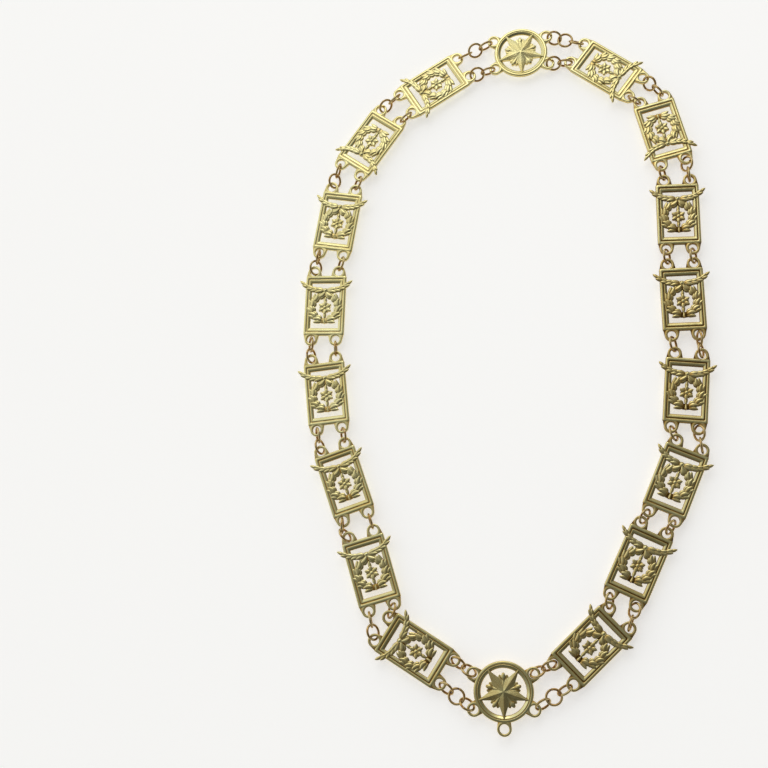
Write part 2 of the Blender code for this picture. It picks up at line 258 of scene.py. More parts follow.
@dataclass(frozen=True)
class Slab:
    """Flat casting over a polar grid, with a rounded top edge, upright walls and a flat back.

    Formula: the point at share s and angle t reaches hole + s (outline - hole) from the middle, and
    stands at the given height less a quarter circle at the edges. Two more rows go down each wall.

    Attributes:
        angle: Angles of the columns, in radians.
        outline: Outer reach at each angle.
        hole: Reach of the hole, 0 for none.
        rows: Rows of points across the top.
        edge: Radius of the rounded edges.
        back: Height of the back.
        wall_shade: Painted shade half way down the walls.
        foot_share: Share of that value at the foot of the walls.
    """

    angle: np.ndarray
    outline: np.ndarray
    hole: float = 0.0
    rows: int = 12
    edge: float = 0.25
    back: float = -0.9
    wall_shade: float = 1.0
    foot_share: float = 0.3

    @property
    def share(self) -> np.ndarray:
        """Shares from the hole or the middle to the outline, closer together near the edges.

        Returns:
            One share a row, from 0 to 1.
        """
        if self.hole:
            return ((1.0 - np.cos(np.linspace(0.0, math.pi, self.rows))) / 2.0)[:, None]
        return np.sin(np.linspace(0.0, math.pi / 2.0, self.rows))[:, None]

    @property
    def reach(self) -> np.ndarray:
        """Distance of every point of the top from the middle."""
        return self.hole + (self.outline[None, :] - self.hole) * self.share

    def shell(self, height: np.ndarray, hollow: np.ndarray) -> Shell:
        """Builds the slab under the given top.

        Args:
            height: Height of every point of the top, before the edges are rounded.
            hollow: Painted shade of every point of the top.

        Returns:
            The closed slab.
        """
        reach = self.reach
        near = self.outline[None, :] - reach
        if self.hole:
            near = np.minimum(near, reach - self.hole)
        top = height - rolled(near, self.edge)
        level = np.full((1, len(self.angle)), self.back)
        # painted shade on the walls, full half way down and less at the foot
        tinge = np.full_like(level, self.wall_shade)
        reaches = [reach, reach[-1:], reach[-1:]]
        heights = [top, (top[-1:] + self.back) / 2.0, level]
        hollows = [np.broadcast_to(hollow, top.shape), tinge, self.foot_share * tinge]
        if self.hole:
            reaches += [reach[:1], reach[:1]]
            heights += [level, (top[:1] + self.back) / 2.0]
            hollows += [self.foot_share * tinge, tinge]
        else:
            reaches += [0.0 * reach[:1]]
            heights += [level]
            hollows += [0.0 * tinge]
        out, up = np.concatenate(reaches), np.concatenate(heights)
        points = np.stack([out * np.cos(self.angle), out * np.sin(self.angle), up], axis=-1)
        return woven(points, np.concatenate(hollows), bool(self.hole), True)


def band_reach(angle: np.ndarray, discs: list[tuple[float, float, float]], facings: int = 720) -> np.ndarray:
    """Outline of a tight band round several discs, as the reach from the origin at each angle.

    Formula: the edge that faces e lies as far out as the farthest disc, x cos e + y sin e + r. A ray
    at t meets it at that distance over cos (t - e), and the nearest meeting is the outline.

    Args:
        angle: Angles of the rays, in radians.
        discs: Middle and radius of each disc.
        facings: Number of directions that an edge may face.

    Returns:
        The reach at each angle.
    """
    faced = even_angles(facings)
    reaches = [x * np.cos(faced) + y * np.sin(faced) + r for x, y, r in discs]
    away = np.cos(angle[:, None] - faced[None, :])
    meeting = np.max(reaches, axis=0)[None, :] / np.maximum(away, TINY)
    return np.where(away > 0.0, meeting, np.inf).min(axis=1)


def dome(radius: float, base: float, height: float, segments: int = 14, rows: int = 6) -> Shell:
    """Round boss with its flat side down.

    Formula: the height above the base is height times the root of one less the squared share.

    Args:
        radius: Radius of the boss.
        base: Height of its foot.
        height: Rise of its crown above the foot.
        segments: Steps round.
        rows: Rows from crown to foot.

    Returns:
        The closed boss.
    """
    # painted shade on the boss's wall and towards the edge of its top
    edge, shade_strength, shade_power = 0.01, 0.7, 6
    angle = even_angles(segments)
    slab = Slab(angle, np.full(segments, radius), rows=rows, edge=edge, back=base, wall_shade=shade_strength)
    share = slab.share + 0.0 * slab.reach
    rise = np.sqrt(np.clip(1.0 - share**2, 0.0, 1.0))
    return slab.shell(base + height * rise + 2.0 * edge, shade_strength * share**shade_power)


@dataclass(frozen=True)
class Leaf:
    """Pointed leaf with a groove along its midrib, stalk at the origin and tip towards +X.

    Formula: at share u of the length the swell s is sin(pi u^0.8), and the half width is width s^0.7.
    Across it, at v from -1 to 1, the top stands edge + lift u + crown s^0.5 (1 - |v|^1.7), less a bell
    curve of v times s for the midrib. The back is flat.

    Attributes:
        length: Stalk to tip.
        width: Half width at the widest place.
        crown: Rise of the middle above the leaf's edge.
        edge: Height of the leaf's edge at the stalk.
        lift: Further rise from stalk to tip.
        back: Height of the back.
        bow: Sideways bow, as a share of the length.
        rib: Depth of the groove along the midrib.
        rib_width: Width of that groove as a share of the half width.
        powers: Powers of the share along, of the width's swell, of the crown's swell and of v.
        rim_shade: Painted shade at the rim, and the power of v by which it falls off inwards.
        rib_shade: Painted shade in the groove, and the width of its bell curve.
        stalk_shade: Painted shade at the stalk, and the power by which it fades towards the tip.
        back_shade: Painted shade of the back.
        rows: Points along.
        columns: Points across.
    """

    length: float
    width: float
    crown: float
    edge: float
    lift: float = 0.3
    back: float = -0.2
    bow: float = 0.0
    rib: float = 0.16
    rib_width: float = 0.2
    powers: tuple[float, float, float, float] = (0.8, 0.7, 0.5, 1.7)
    rim_shade: tuple[float, int] = (0.75, 10)
    rib_shade: tuple[float, float] = (0.15, 0.14)
    stalk_shade: tuple[float, int] = (0.3, 4)
    back_shade: float = 0.4
    rows: int = 12
    columns: int = 9

    def shell(self) -> Shell:
        """Builds the leaf by its formula.

        Returns:
            The closed leaf.
        """
        u = np.linspace(0.0, 1.0, self.rows)[:, None]
        v = np.sin(np.linspace(-math.pi / 2.0, math.pi / 2.0, self.columns))[None, :]
        along_power, width_power, crown_power, across_power = self.powers
        swell = np.clip(np.sin(math.pi * u**along_power), 0.0, 1.0)
        half = self.width * swell**width_power
        arch = swell**crown_power * (1.0 - np.abs(v) ** across_power)
        rib = self.rib * np.exp(-((v / self.rib_width) ** 2)) * swell
        top = self.edge + self.lift * u + self.crown * arch - rib
        line = self.bow * self.length * np.sin(math.pi * u)
        across = line + half * v
        along = self.length * u + 0.0 * across
        under_v = np.array([[1.0, 0.0, -1.0]])
        under = np.stack([
            self.length * u + 0.0 * under_v,
            line + half * under_v,
            np.full((self.rows, 3), self.back),
        ], axis=-1)
        points = np.concatenate([np.stack([along, across, top], axis=-1), under], axis=1)
        # painted shade: dark at the rim, in the midrib's groove, at the stalk and on the back
        at_rim = self.rim_shade[0] * np.abs(v) ** self.rim_shade[1]
        at_rib = self.rib_shade[0] * np.exp(-((v / self.rib_shade[1]) ** 2))
        at_stalk = self.stalk_shade[0] * (1.0 - u) ** self.stalk_shade[1]
        shaded = np.clip(at_rim + at_rib + at_stalk, 0.0, 1.0)
        hollow = np.concatenate([shaded, np.full((self.rows, 3), self.back_shade)], axis=1)
        return woven(points, hollow, False, True)


def tube(path: np.ndarray, radius: np.ndarray, flat: float = 1.0, sides: int = 12) -> Shell:
    """Stem along a path, pointed where its radius falls to nothing.

    Formula: at each point of the path, an ellipse stands square to the path's level direction, spanned
    by the level normal and by Z.

    Args:
        path: Points of the path, a row each.
        radius: Half width at each point.
        flat: Height of the ellipse as a share of its width.
        sides: Points round.

    Returns:
        The closed stem.
    """
    way = np.gradient(path, axis=0)
    way /= np.linalg.norm(way[:, :2], axis=1)[:, None]
    normal = np.stack([-way[:, 1], way[:, 0], 0.0 * way[:, 0]], axis=-1)
    angle = even_angles(sides)
    ring = np.cos(angle)[None, :, None] * normal[:, None, :]
    ring = ring + np.sin(angle)[None, :, None] * np.array([0.0, 0.0, flat])
    points = path[:, None, :] + radius[:, None, None] * ring
    # painted shade on the underside of the stem
    hollow = np.clip(-np.sin(angle), 0.0, 1.0)[None, :]
    return woven(points, hollow, False, True)


# ---------------------------------------------------------------- plaque


@dataclass(frozen=True)
class FrameMoulding:
    """Rectangular frame of a plaque: outer rim, groove and inner rim, mitred at the corners.

    Formula: the profile gives a share across the rail and a height. At share w the outline is a
    rectangle with sides that shrink from the outer size to the window's and with a corner radius that
    shrinks too, so the same profile is carried round both long and short rails.
    """

    outer: tuple[float, float] = (13.4, 20.5)
    window: tuple[float, float] = (9.2, 15.3)
    corner: tuple[float, float] = (1.1, 0.25)
    corner_steps: int = 5
    side_steps: int = 8
    profile: tuple[tuple[float, float, float], ...] = (
        # share across the rail, height, painted shade (dark in the groove and on the walls)
        (0.0, -1.0, 0.3),
        (0.0, -0.3, 0.9),
        (0.0, 0.5, 0.5),
        (0.04, 0.8, 0.15),
        (0.1, 0.98, 0.0),
        (0.18, 1.08, 0.0),
        (0.26, 1.1, 0.0),
        (0.34, 1.08, 0.0),
        (0.4, 1.0, 0.05),
        (0.44, 0.86, 0.6),
        (0.48, 0.8, 0.8),
        (0.54, 0.82, 0.7),
        (0.58, 0.92, 0.1),
        (0.65, 0.96, 0.0),
        (0.8, 0.84, 0.0),
        (0.93, 0.64, 0.1),
        (1.0, 0.38, 0.6),
        (1.0, -0.2, 1.0),
        (1.0, -1.0, 0.5),
        (0.85, -1.0, 0.0),
        (0.15, -1.0, 0.0),
    )

    def shell(self) -> Shell:
        """Builds the frame by its formula.

        Returns:
            The closed frame.
        """
        line = softened(np.array(self.profile))
        share = line[:, 0][:, None]
        half = [a + (b - a) * share for a, b in zip(self.outer, self.window)]
        radius = self.corner[0] + (self.corner[1] - self.corner[0]) * share
        along = np.linspace(-1.0, 1.0, self.side_steps + 2)[1:-1]
        arc = np.linspace(0.0, math.pi / 2.0, self.corner_steps)
        anchor = np.concatenate([1.0 + 1.0j * along, np.full(self.corner_steps, 1.0 + 1.0j)])
        facing = np.concatenate([np.ones(self.side_steps), np.exp(1.0j * arc)])
        quarter = 1.0j ** np.arange(4)[:, None]
        anchors, facings = (quarter * anchor).reshape(-1), (quarter * facing).reshape(-1)
        x = anchors.real * (half[0] - radius) + facings.real * radius
        y = anchors.imag * (half[1] - radius) + facings.imag * radius
        points = np.stack([x, y, line[:, 1:2] + 0.0 * x], axis=-1)
        return woven(points, line[:, 2:3], True, True)


@dataclass(frozen=True)
class CastLoop:
    """Cast loop with a rounded collar about its hole and a web that runs in under the rim.

    Formula: the outline is a tight band round the loop and the two feet of its web. The top is a web
    at one level with a collar on it, a bell curve of the distance from the collar's crest.
    """

    radius: float
    hole: float
    feet: tuple[tuple[float, float, float], ...]
    collar: float
    web: float
    back: float
    segments: int = 44
    rows: int = 11
    collar_width: float = 1.1
    edge: float = 0.38
    # painted shade on the low web, cleared on the collar's crest and kept within the span
    web_shade: float = 0.8
    clean: float = 0.9
    shade_span: tuple[float, float] = (0.1, 0.6)

    def shell(self) -> Shell:
        """Builds the loop round the origin.

        Returns:
            The closed loop with its web.
        """
        angle = even_angles(self.segments)
        outline = band_reach(angle, [(0.0, 0.0, self.radius), *self.feet])
        slab = Slab(angle, outline, hole=self.hole, rows=self.rows, edge=self.edge, back=self.back)
        crest = (self.radius + self.hole) / 2.0
        bell = np.exp(-(((slab.reach - crest) / self.collar_width) ** 2))
        height = self.web + (self.collar - self.web) * bell
        # painted shade: strong on the web, weak on the collar
        return slab.shell(height, np.clip(self.web_shade - self.clean * bell, *self.shade_span))


@dataclass(frozen=True)
class LaurelWreath:
    """Laurel wreath: low leaves in threes that grow up both sides of a broad ring, from foot to head.

    Formula: station k stands at an even angle up the side of the ring; its three leaves point along
    the ring, one straight on and the others spread outwards and inwards, less and less towards the
    head, where the two sides close.
    """

    middle_y: float = -1.5
    radius: float = 8.8
    stations: int = 6
    first: float = math.radians(-80.0)
    last: float = math.radians(54.0)
    spread: float = math.radians(15.0)
    closing: float = 0.55
    side_step: float = 0.95
    outer_leaf: Leaf = Leaf(5.7, 1.35, 0.42, 0.62, lift=0.35, back=-0.3, bow=0.08, rib=0.08)
    inner_leaf: Leaf = Leaf(4.9, 1.25, 0.42, 0.62, lift=0.35, back=-0.3, bow=0.13, rib=0.08)
    middle_leaf: Leaf = Leaf(6.2, 1.5, 0.5, 0.9, lift=0.3, back=-0.1, bow=0.11, rib=0.12)
    tie: Leaf = Leaf(4.2, 0.95, 1.0, 0.3, lift=0.0, back=-0.9, rib=0.0)
    segments: int = 64
    ring: tuple[tuple[float, float, float], ...] = (
        # radius, height, painted shade (dark on the ring's walls)
        (6.95, -0.9, 0.3),
        (6.9, -0.1, 1.0),
        (7.2, 0.55, 0.6),
        (8.0, 0.75, 0.75),
        (9.6, 0.75, 0.75),
        (10.4, 0.55, 0.6),
        (10.7, -0.1, 1.0),
        (10.6, -0.9, 0.3),
        (8.8, -0.9, 0.0),
    )

    def shells(self) -> Iterator[Shell]:
        """Yields the ring and then the leaves of both sides.

        Yields:
            The ring, each leaf with its mirror image, and the tie at the foot.
        """
        centre = (0.0, self.middle_y, 0.0)
        yield turned(softened(np.array(self.ring)), self.segments).placed(shift=centre)
        outer, inner, middle = self.outer_leaf.shell(), self.inner_leaf.shell(), self.middle_leaf.shell()
        for k, place in enumerate(np.linspace(self.first, self.last, self.stations)):
            open_share = 1.0 - self.closing * k / (self.stations - 1)
            for leaf, side in ((outer, 1.0), (inner, -1.0), (middle, 0.0)):
                reach = self.radius + side * self.side_step
                shift = (reach * math.cos(place), reach * math.sin(place) + self.middle_y, 0.0)
                turn = place + math.pi / 2.0 - side * self.spread * open_share
                grown = leaf.placed(turn, shift)
                yield grown
                yield grown.mirrored()
        foot = self.middle_y - self.radius - self.tie.length / 2.0
        yield self.tie.shell().placed(math.pi / 2.0, (0.0, foot, 0.0))


@dataclass(frozen=True)
class Rosette:
    """Flower of broad petals about a smooth boss, with a bud towards head and foot.

    Formula: narrow sepals stand at even angles, and petals half a step on from them.
    """

    middle_y: float = -1.5
    petals: int = 6
    start: float = 0.7
    petal: Leaf = Leaf(3.9, 1.3, 0.42, 0.72, lift=0.25, back=-0.9, rib=0.16)
    sepal: Leaf = Leaf(3.1, 0.6, 0.3, 0.4, lift=0.1, back=-0.9, rib=0.0)
    bud: Leaf = Leaf(4.6, 1.05, 0.5, 0.4, lift=0.1, back=-0.95, rib=0.1)
    bud_start: float = 3.0
    boss: float = 1.35
    boss_foot: float = 0.6
    boss_rise: float = 1.1
    boss_grid: tuple[int, int] = (24, 8)

    def shells(self) -> Iterator[Shell]:
        """Yields sepals, petals, buds and boss.

        Yields:
            The sepals, the petals, the boss and the two buds.
        """
        step = FULL_TURN / self.petals
        for row, first in ((self.sepal, 0.0), (self.petal, 0.5)):
            part = row.shell()
            for k in range(self.petals):
                angle = (k + first) * step
                shift = (self.start * math.cos(angle), self.start * math.sin(angle) + self.middle_y, 0.0)
                yield part.placed(angle, shift)
        boss = dome(self.boss, self.boss_foot, self.boss_rise, *self.boss_grid)
        yield boss.placed(shift=(0.0, self.middle_y, 0.0))
        bud = self.bud.shell()
        for upward in (1.0, -1.0):
            yield bud.placed(upward * math.pi / 2.0, (0.0, self.middle_y + self.bud_start * upward, 0.0))


@dataclass(frozen=True)
class LaurelSpray:
    """Two mirrored laurel sprigs across the head of the plaque, tied in the middle.

    Formula: the stem follows y = y0 + a x^2 + b x^3 and tapers to its tip. Leaves stand in pairs at
    even steps of x, spread to both sides of the stem's direction and smaller towards the tip, where
    a last leaf points straight on.
    """

    start_y: float = 10.2
    bend: tuple[float, float] = (0.00745, 0.000976)
    tip_x: float = 17.2
    stem_start: float = -1.0
    stem_short: float = 2.0
    stem_points: int = 19
    stem_taper: float = 0.5
    stem_radius: float = 1.35
    stem_flat: float = 0.42
    stem_height: float = 0.75
    pairs: tuple[float, ...] = (1.0, 4.4, 7.8, 11.2)
    spread: float = math.radians(12.0)
    leaf: Leaf = Leaf(6.4, 1.5, 0.55, 1.0, lift=0.3, back=0.2, rib=0.12)
    small: float = 0.78
    last_leaf: Leaf = Leaf(4.4, 1.0, 0.45, 1.05, lift=-0.2, back=0.2, rib=0.1)
    last_short: float = 3.2
    knot: tuple[float, float, float] = (1.7, 0.3, 1.75)
    knot_grid: tuple[int, int] = (24, 8)

    def height_at(self, x: np.ndarray) -> np.ndarray:
        """Y of the stem at x."""
        return self.start_y + self.bend[0] * x**2 + self.bend[1] * x**3

    def placed_leaf(self, leaf: Shell, x: float, spread: float = 0.0) -> Shell:
        """Puts a leaf on the stem.

        Args:
            leaf: The leaf, stalk at the origin.
            x: Place along the stem.
            spread: Turn from the stem's direction in radians.

        Returns:
            The leaf in its place.
        """
        slope = math.atan(2.0 * self.bend[0] * x + 3.0 * self.bend[1] * x**2)
        return leaf.placed(slope + spread, (x, float(self.height_at(np.array(x))), 0.0))

    def sprig(self) -> Iterator[Shell]:
        """Yields the stem and leaves of the sprig towards +X.

        Yields:
            The stem, the pairs and the last leaf.
        """
        x = np.linspace(self.stem_start, self.tip_x - self.stem_short, self.stem_points)
        path = np.stack([x, self.height_at(x), np.full_like(x, self.stem_height)], axis=-1)
        between = (x > x[0]) & (x < x[-1])
        radius = self.stem_radius * (1.0 - self.stem_taper * (x / x[-1]) ** 2) * between
        yield tube(path, radius, self.stem_flat)
        for i, place in enumerate(self.pairs):
            size = 1.0 - (1.0 - self.small) * i / (len(self.pairs) - 1)
            full = self.leaf
            leaf = replace(full, length=full.length * size, width=full.width * size, crown=full.crown * size)
            grown = leaf.shell()
            for side in (-1.0, 1.0):
                yield self.placed_leaf(grown, place, side * self.spread)
        yield self.placed_leaf(self.last_leaf.shell(), self.tip_x - self.last_short)

    def shells(self) -> Iterator[Shell]:
        """Yields both sprigs and the tie between them.

        Yields:
            Each part with its mirror image, then the tie.
        """
        for part in self.sprig():
            yield part
            yield part.mirrored()
        yield dome(*self.knot, *self.knot_grid).placed(shift=(0.0, self.start_y, 0.0))


@dataclass(frozen=True)
class Plaque:
    """Pierced plaque: frame, four loops, wreath, rosette and spray."""

    rails: FrameMoulding = FrameMoulding()
    loop: CastLoop = CastLoop(
        radius=4.25, hole=2.6, feet=((3.95, -3.9, 1.2), (-4.1, -4.4, 1.2)), collar=1.04, web=0.85, back=-1.0
    )
    wreath: LaurelWreath = LaurelWreath()
    rosette: Rosette = Rosette()
    spray: LaurelSpray = LaurelSpray()

    def shell(self) -> Shell:
        """Builds the plaque about its middle, head towards +Y.

        Returns:
            The shells of all its parts in one.
        """
        loop = self.loop.shell().placed(shift=(*PLAQUE_LOOP, 0.0))
        loops = [loop, loop.mirrored(), loop.mirrored(1), loop.mirrored().mirrored(1)]
        relief = [*self.wreath.shells(), *self.rosette.shells(), *self.spray.shells()]
        return joined([self.rails.shell(), *loops, *relief])


# ---------------------------------------------------------------- medallion


@dataclass(frozen=True)
class MedallionRim:
    """Turned rim: an outer band, a fine groove and an inner band that falls towards the middle."""

    segments: int = 96
    profile: tuple[tuple[float, float, float], ...] = (
        # radius, height, painted shade (dark in the groove and on the walls)
        (17.7, -1.0, 0.3),
        (17.76, -0.3, 0.9),
        (17.68, 0.5, 0.4),
        (17.45, 0.92, 0.05),
        (17.0, 1.1, 0.0),
        (16.2, 1.14, 0.0),
        (15.95, 1.05, 0.05),
        (15.85, 0.8, 0.6),
        (15.7, 0.76, 0.6),
        (15.55, 0.94, 0.1),
        (15.3, 1.0, 0.0),
        (14.9, 0.88, 0.0),
        (14.3, 0.58, 0.0),
        (13.85, 0.34, 0.05),
        (13.62, 0.1, 0.5),
        (13.5, -0.4, 1.0),
        (13.55, -1.0, 0.5),
        (15.7, -1.0, 0.0),
    )

    def shell(self) -> Shell:
        """Turns the rounded profile."""
        return turned(softened(np.array(self.profile)), self.segments)


def scored(share: np.ndarray, facet: np.ndarray, cuts: int, seed: int, least: float = 0.35) -> np.ndarray:
    """Depths of the fine cuts that run out from the middle over a row of facets.

    Formula: each facet is parted evenly into cuts, and a cut's depth is a squared sine across it,
    times a share of its own from the least to 1.

    Args:
        share: Place of each column across its facet, from 0 to 1.
        facet: Number of each column's facet.
        cuts: Cuts to a facet.
        seed: Start of the random shares.
        least: Least share of a cut.

    Returns:
        Depth at each column, from 0 to 1.
    """
    number = np.minimum((share * cuts).astype(int), cuts - 1) + facet * cuts
    depth = np.random.default_rng(seed).uniform(least, 1.0, int(number.max()) + 1)[number]
    return np.sin(math.pi * cuts * share) ** 2 * depth


def faded(reach: np.ndarray, start: float = 1.2, length: float = 3.0) -> np.ndarray:
    """Strength of the cuts at a distance from the middle: none up to start, full after length more."""
    return np.clip((reach - start) / length, 0.0, 1.0)


@dataclass(frozen=True)
class Star:
    """Five-pointed star of flat facets with fine cuts that run out from its middle.

    Formula: between a tip at angle 0 and a waist at half a step, the outline is the straight edge from
    one to the other. A facet is flat between peak, tip and waist. Cuts lower it by a squared sine of
    the angle, each to its own depth, and fade out towards the middle.
    """

    points: int = 5
    tip: float = 16.1
    waist: float = 6.1
    peak: float = 2.1
    tip_height: float = 1.3
    waist_height: float = 1.08
    cuts: int = 9
    cut_depth: float = 0.05
    # painted shade in the fine cuts
    cut_shade: float = 0.45
    rows: int = 14
    edge: float = 0.12
    back: float = -0.95
    steps: int = 48
    turn: float = math.radians(270.0)
    seed: int = 5

    def shell(self) -> Shell:
        """Builds the star, one tip towards -Y.

        Returns:
            The closed star.
        """
        half_step = math.pi / self.points
        count = 2 * self.points * self.steps
        angle = even_angles(count)
        part = np.arange(count) % (2 * self.steps)
        away = np.minimum(part, 2 * self.steps - part) / self.steps
        delta = away * half_step
        waist_x, waist_y = self.waist * math.cos(half_step), self.waist * math.sin(half_step)
        along = self.tip * np.sin(delta)
        along = along / (waist_y * np.cos(delta) - (waist_x - self.tip) * np.sin(delta))
        outline = (self.tip + along * (waist_x - self.tip)) / np.cos(delta)
        rim = self.tip_height + along * (self.waist_height - self.tip_height)
        slab = Slab(angle, outline, rows=self.rows, edge=self.edge, back=self.back)
        share = slab.reach / outline
        wave = scored(away, np.arange(count) // self.steps, self.cuts, self.seed)
        fade = faded(slab.reach)
        height = self.peak + (rim - self.peak) * share - self.cut_depth * wave * fade
        # painted shade follows the depth of the cuts
        return slab.shell(height, self.cut_shade * wave * fade).placed(self.turn)


@dataclass(frozen=True)
class RayFans:
    """Fan of short rays in each gap between the star's points, with a raised pad on its middle ray.

    Formula: the outline and the height along it are drawn straight between knots, given as the angle
    from the middle of the gap, the reach and the height; the fan slopes straight down from the middle
    of the medallion. Fine cuts lower it as they do the star, with painted shade in them, and the pad is a
    disc with a rounded top and a line of painted shade about its foot.
    """

    fans: int = 5
    knots: tuple[tuple[float, float, float], ...] = (
        # degrees from the gap's middle, reach, height at the outline
        (0.0, 11.0, 1.0),
        (4.0, 10.7, 0.95),
        (8.5, 9.3, 0.85),
        (12.0, 10.1, 0.95),
        (17.0, 9.8, 0.95),
        (21.0, 8.6, 0.8),
        (26.0, 8.6, 0.8),
        (36.0, 5.6, 0.4),
    )
    middle_height: float = 1.8
    pad_reach: float = 9.0
    pad_radius: float = 1.75
    pad_rise: float = 0.3
    pad_power: int = 4
    # painted shade in a line about the pad's foot
    foot_shade: float = 0.6
    foot_place: float = 1.08
    foot_width: float = 0.16
    cuts: int = 8
    cut_depth: float = 0.035
    cut_shade: float = 0.3
    rows: int = 15
    edge: float = 0.15
    back: float = -0.9
    steps: int = 36
    turn: float = math.radians(90.0)
    seed: int = 11

    def shell(self) -> Shell:
        """Builds the fans, one towards +Y.

        Returns:
            The closed disc of all fans.
        """
        table = np.array(self.knots)
        count = 2 * self.fans * self.steps
        angle = even_angles(count)
        part = np.arange(count) % (2 * self.steps)
        share = np.minimum(part, 2 * self.steps - part) / self.steps
        away = share * HALF_CIRCLE / self.fans
        outline, rim = (np.interp(away, table[:, 0], column) for column in table[:, 1:].T)
        slab = Slab(angle, outline, rows=self.rows, edge=self.edge, back=self.back)
        groove = scored(share, np.arange(count) // self.steps, self.cuts, self.seed)
        height = self.middle_height + (rim - self.middle_height) * slab.reach / outline
        height = height - self.cut_depth * groove * faded(slab.reach)
        x, y = slab.reach * np.cos(np.radians(away)), slab.reach * np.sin(np.radians(away))
        apart = np.hypot(x - self.pad_reach, y) / self.pad_radius
        height = height + self.pad_rise * np.sqrt(np.clip(1.0 - apart**self.pad_power, 0.0, 1.0))
        # painted shade in a line about the pad's foot, and in the cuts
        foot = self.foot_shade * np.exp(-(((apart - self.foot_place) / self.foot_width) ** 2))
        return slab.shell(height, np.clip(foot + self.cut_shade * groove, 0.0, 1.0)).placed(self.turn)


@dataclass(frozen=True)
class Medallion:
    """Round medallion: rim, loops, star and fans; the front one has a fifth loop for a jewel."""

    jewel_loop: bool
    rim: MedallionRim = MedallionRim()
    loop: CastLoop = CastLoop(
        radius=4.25, hole=2.6, feet=((-3.2, 3.5, 0.9), (-3.2, -3.5, 0.9)), collar=0.98, web=0.6, back=-0.9
    )
    jewel: CastLoop = CastLoop(
        radius=4.35, hole=2.75, feet=((-3.9, 2.9, 0.9), (-3.9, -2.9, 0.9)), collar=1.0, web=0.6, back=-0.9
    )
    jewel_reach: float = 21.0
    jewel_angle: float = 270.0
    star: Star = Star()
    fans: RayFans = RayFans()

    def shell(self) -> Shell:
        """Builds the medallion about its middle, jewel loop towards -Y.

        Returns:
            The shells of all its parts in one.
        """
        loop = self.loop.shell()
        side_loop = loop.placed(shift=(RIM_LOOP_REACH, 0.0, 0.0))
        loops = [side_loop.placed(math.radians(angle)) for angle in RIM_LOOP_ANGLES]
        if self.jewel_loop:
            jewel = self.jewel.shell().placed(shift=(self.jewel_reach, 0.0, 0.0))
            loops.append(jewel.placed(math.radians(self.jewel_angle)))
        return joined([self.rim.shell(), self.star.shell(), self.fans.shell(), *loops])


# ---------------------------------------------------------------- rings


@dataclass(frozen=True)
class WireRing:
    """Ring of round wire with the fine line of its soldered joint.

    Formula: the wire's middle runs round a circle that is drawn a little longer one way, and the wire's
    radius dips in a narrow bell curve at the joint. The steps round are gathered on one side.
    """

    mean_radius: float = 4.53
    wire_radius: float = 0.76
    segments: int = 48
    sides: int = 12
    stretch: float = 0.012
    joint_depth: float = 0.14
    joint_width: float = 0.05
    gather: float = 0.35
    inner_shade: float = 0.6

    def shell(self, joint: float) -> Shell:
        """Builds the ring round Z, its joint at the given angle in radians.

        Args:
            joint: Angle of the soldered joint in radians.

        Returns:
            The closed ring.
        """
        around = even_angles(self.segments)
        around = (around + joint + self.gather * np.sin(around))[:, None]
        round_wire = even_angles(self.sides)[None, :]
        off = np.angle(np.exp(1.0j * (around - joint)))
        gap = np.exp(-((off / self.joint_width) ** 2))
        wire = self.wire_radius - self.joint_depth * gap
        mean = self.mean_radius * (1.0 + self.stretch * np.cos(2.0 * around))
        reach = mean + wire * np.cos(round_wire)
        points = [reach * np.cos(around), reach * np.sin(around), wire * np.sin(round_wire)]
        # painted shade on the inner side of the wire, plus the dark line of the soldered joint
        inner = self.inner_shade * np.clip(-np.cos(round_wire), 0.0, 1.0) ** 2
        return woven(np.stack(points, axis=-1), np.clip(inner + gap, 0.0, 1.0), True, True)


# ---------------------------------------------------------------- layout


@dataclass(frozen=True)
class Lie:
    """How a casting lies: its name, leading end, slide along the loop, shift outwards, turn and strength of
    painted shade.
    """

    name: str
    lead: Lead
    slide: float
    out: float
    turn: float
    # strength of painted shade on this casting
    shade_and_tarnish: float = 1.0

    @property
    def short(self) -> str:
        """Name without the kind of casting."""
        return self.name.replace("medallion_", "").replace("plaque_", "")


@dataclass(frozen=True)
class PlacedCasting:
    """Casting in its place: middle as a complex number in millimetres, heading in radians."""

    lie: Lie
    middle: complex
    heading: float


@dataclass(frozen=True)
class PlacedRing:
    """Ring in its place: middle and direction as complex numbers, lean about its direction."""

    middle: complex
    way: complex
    lean: float


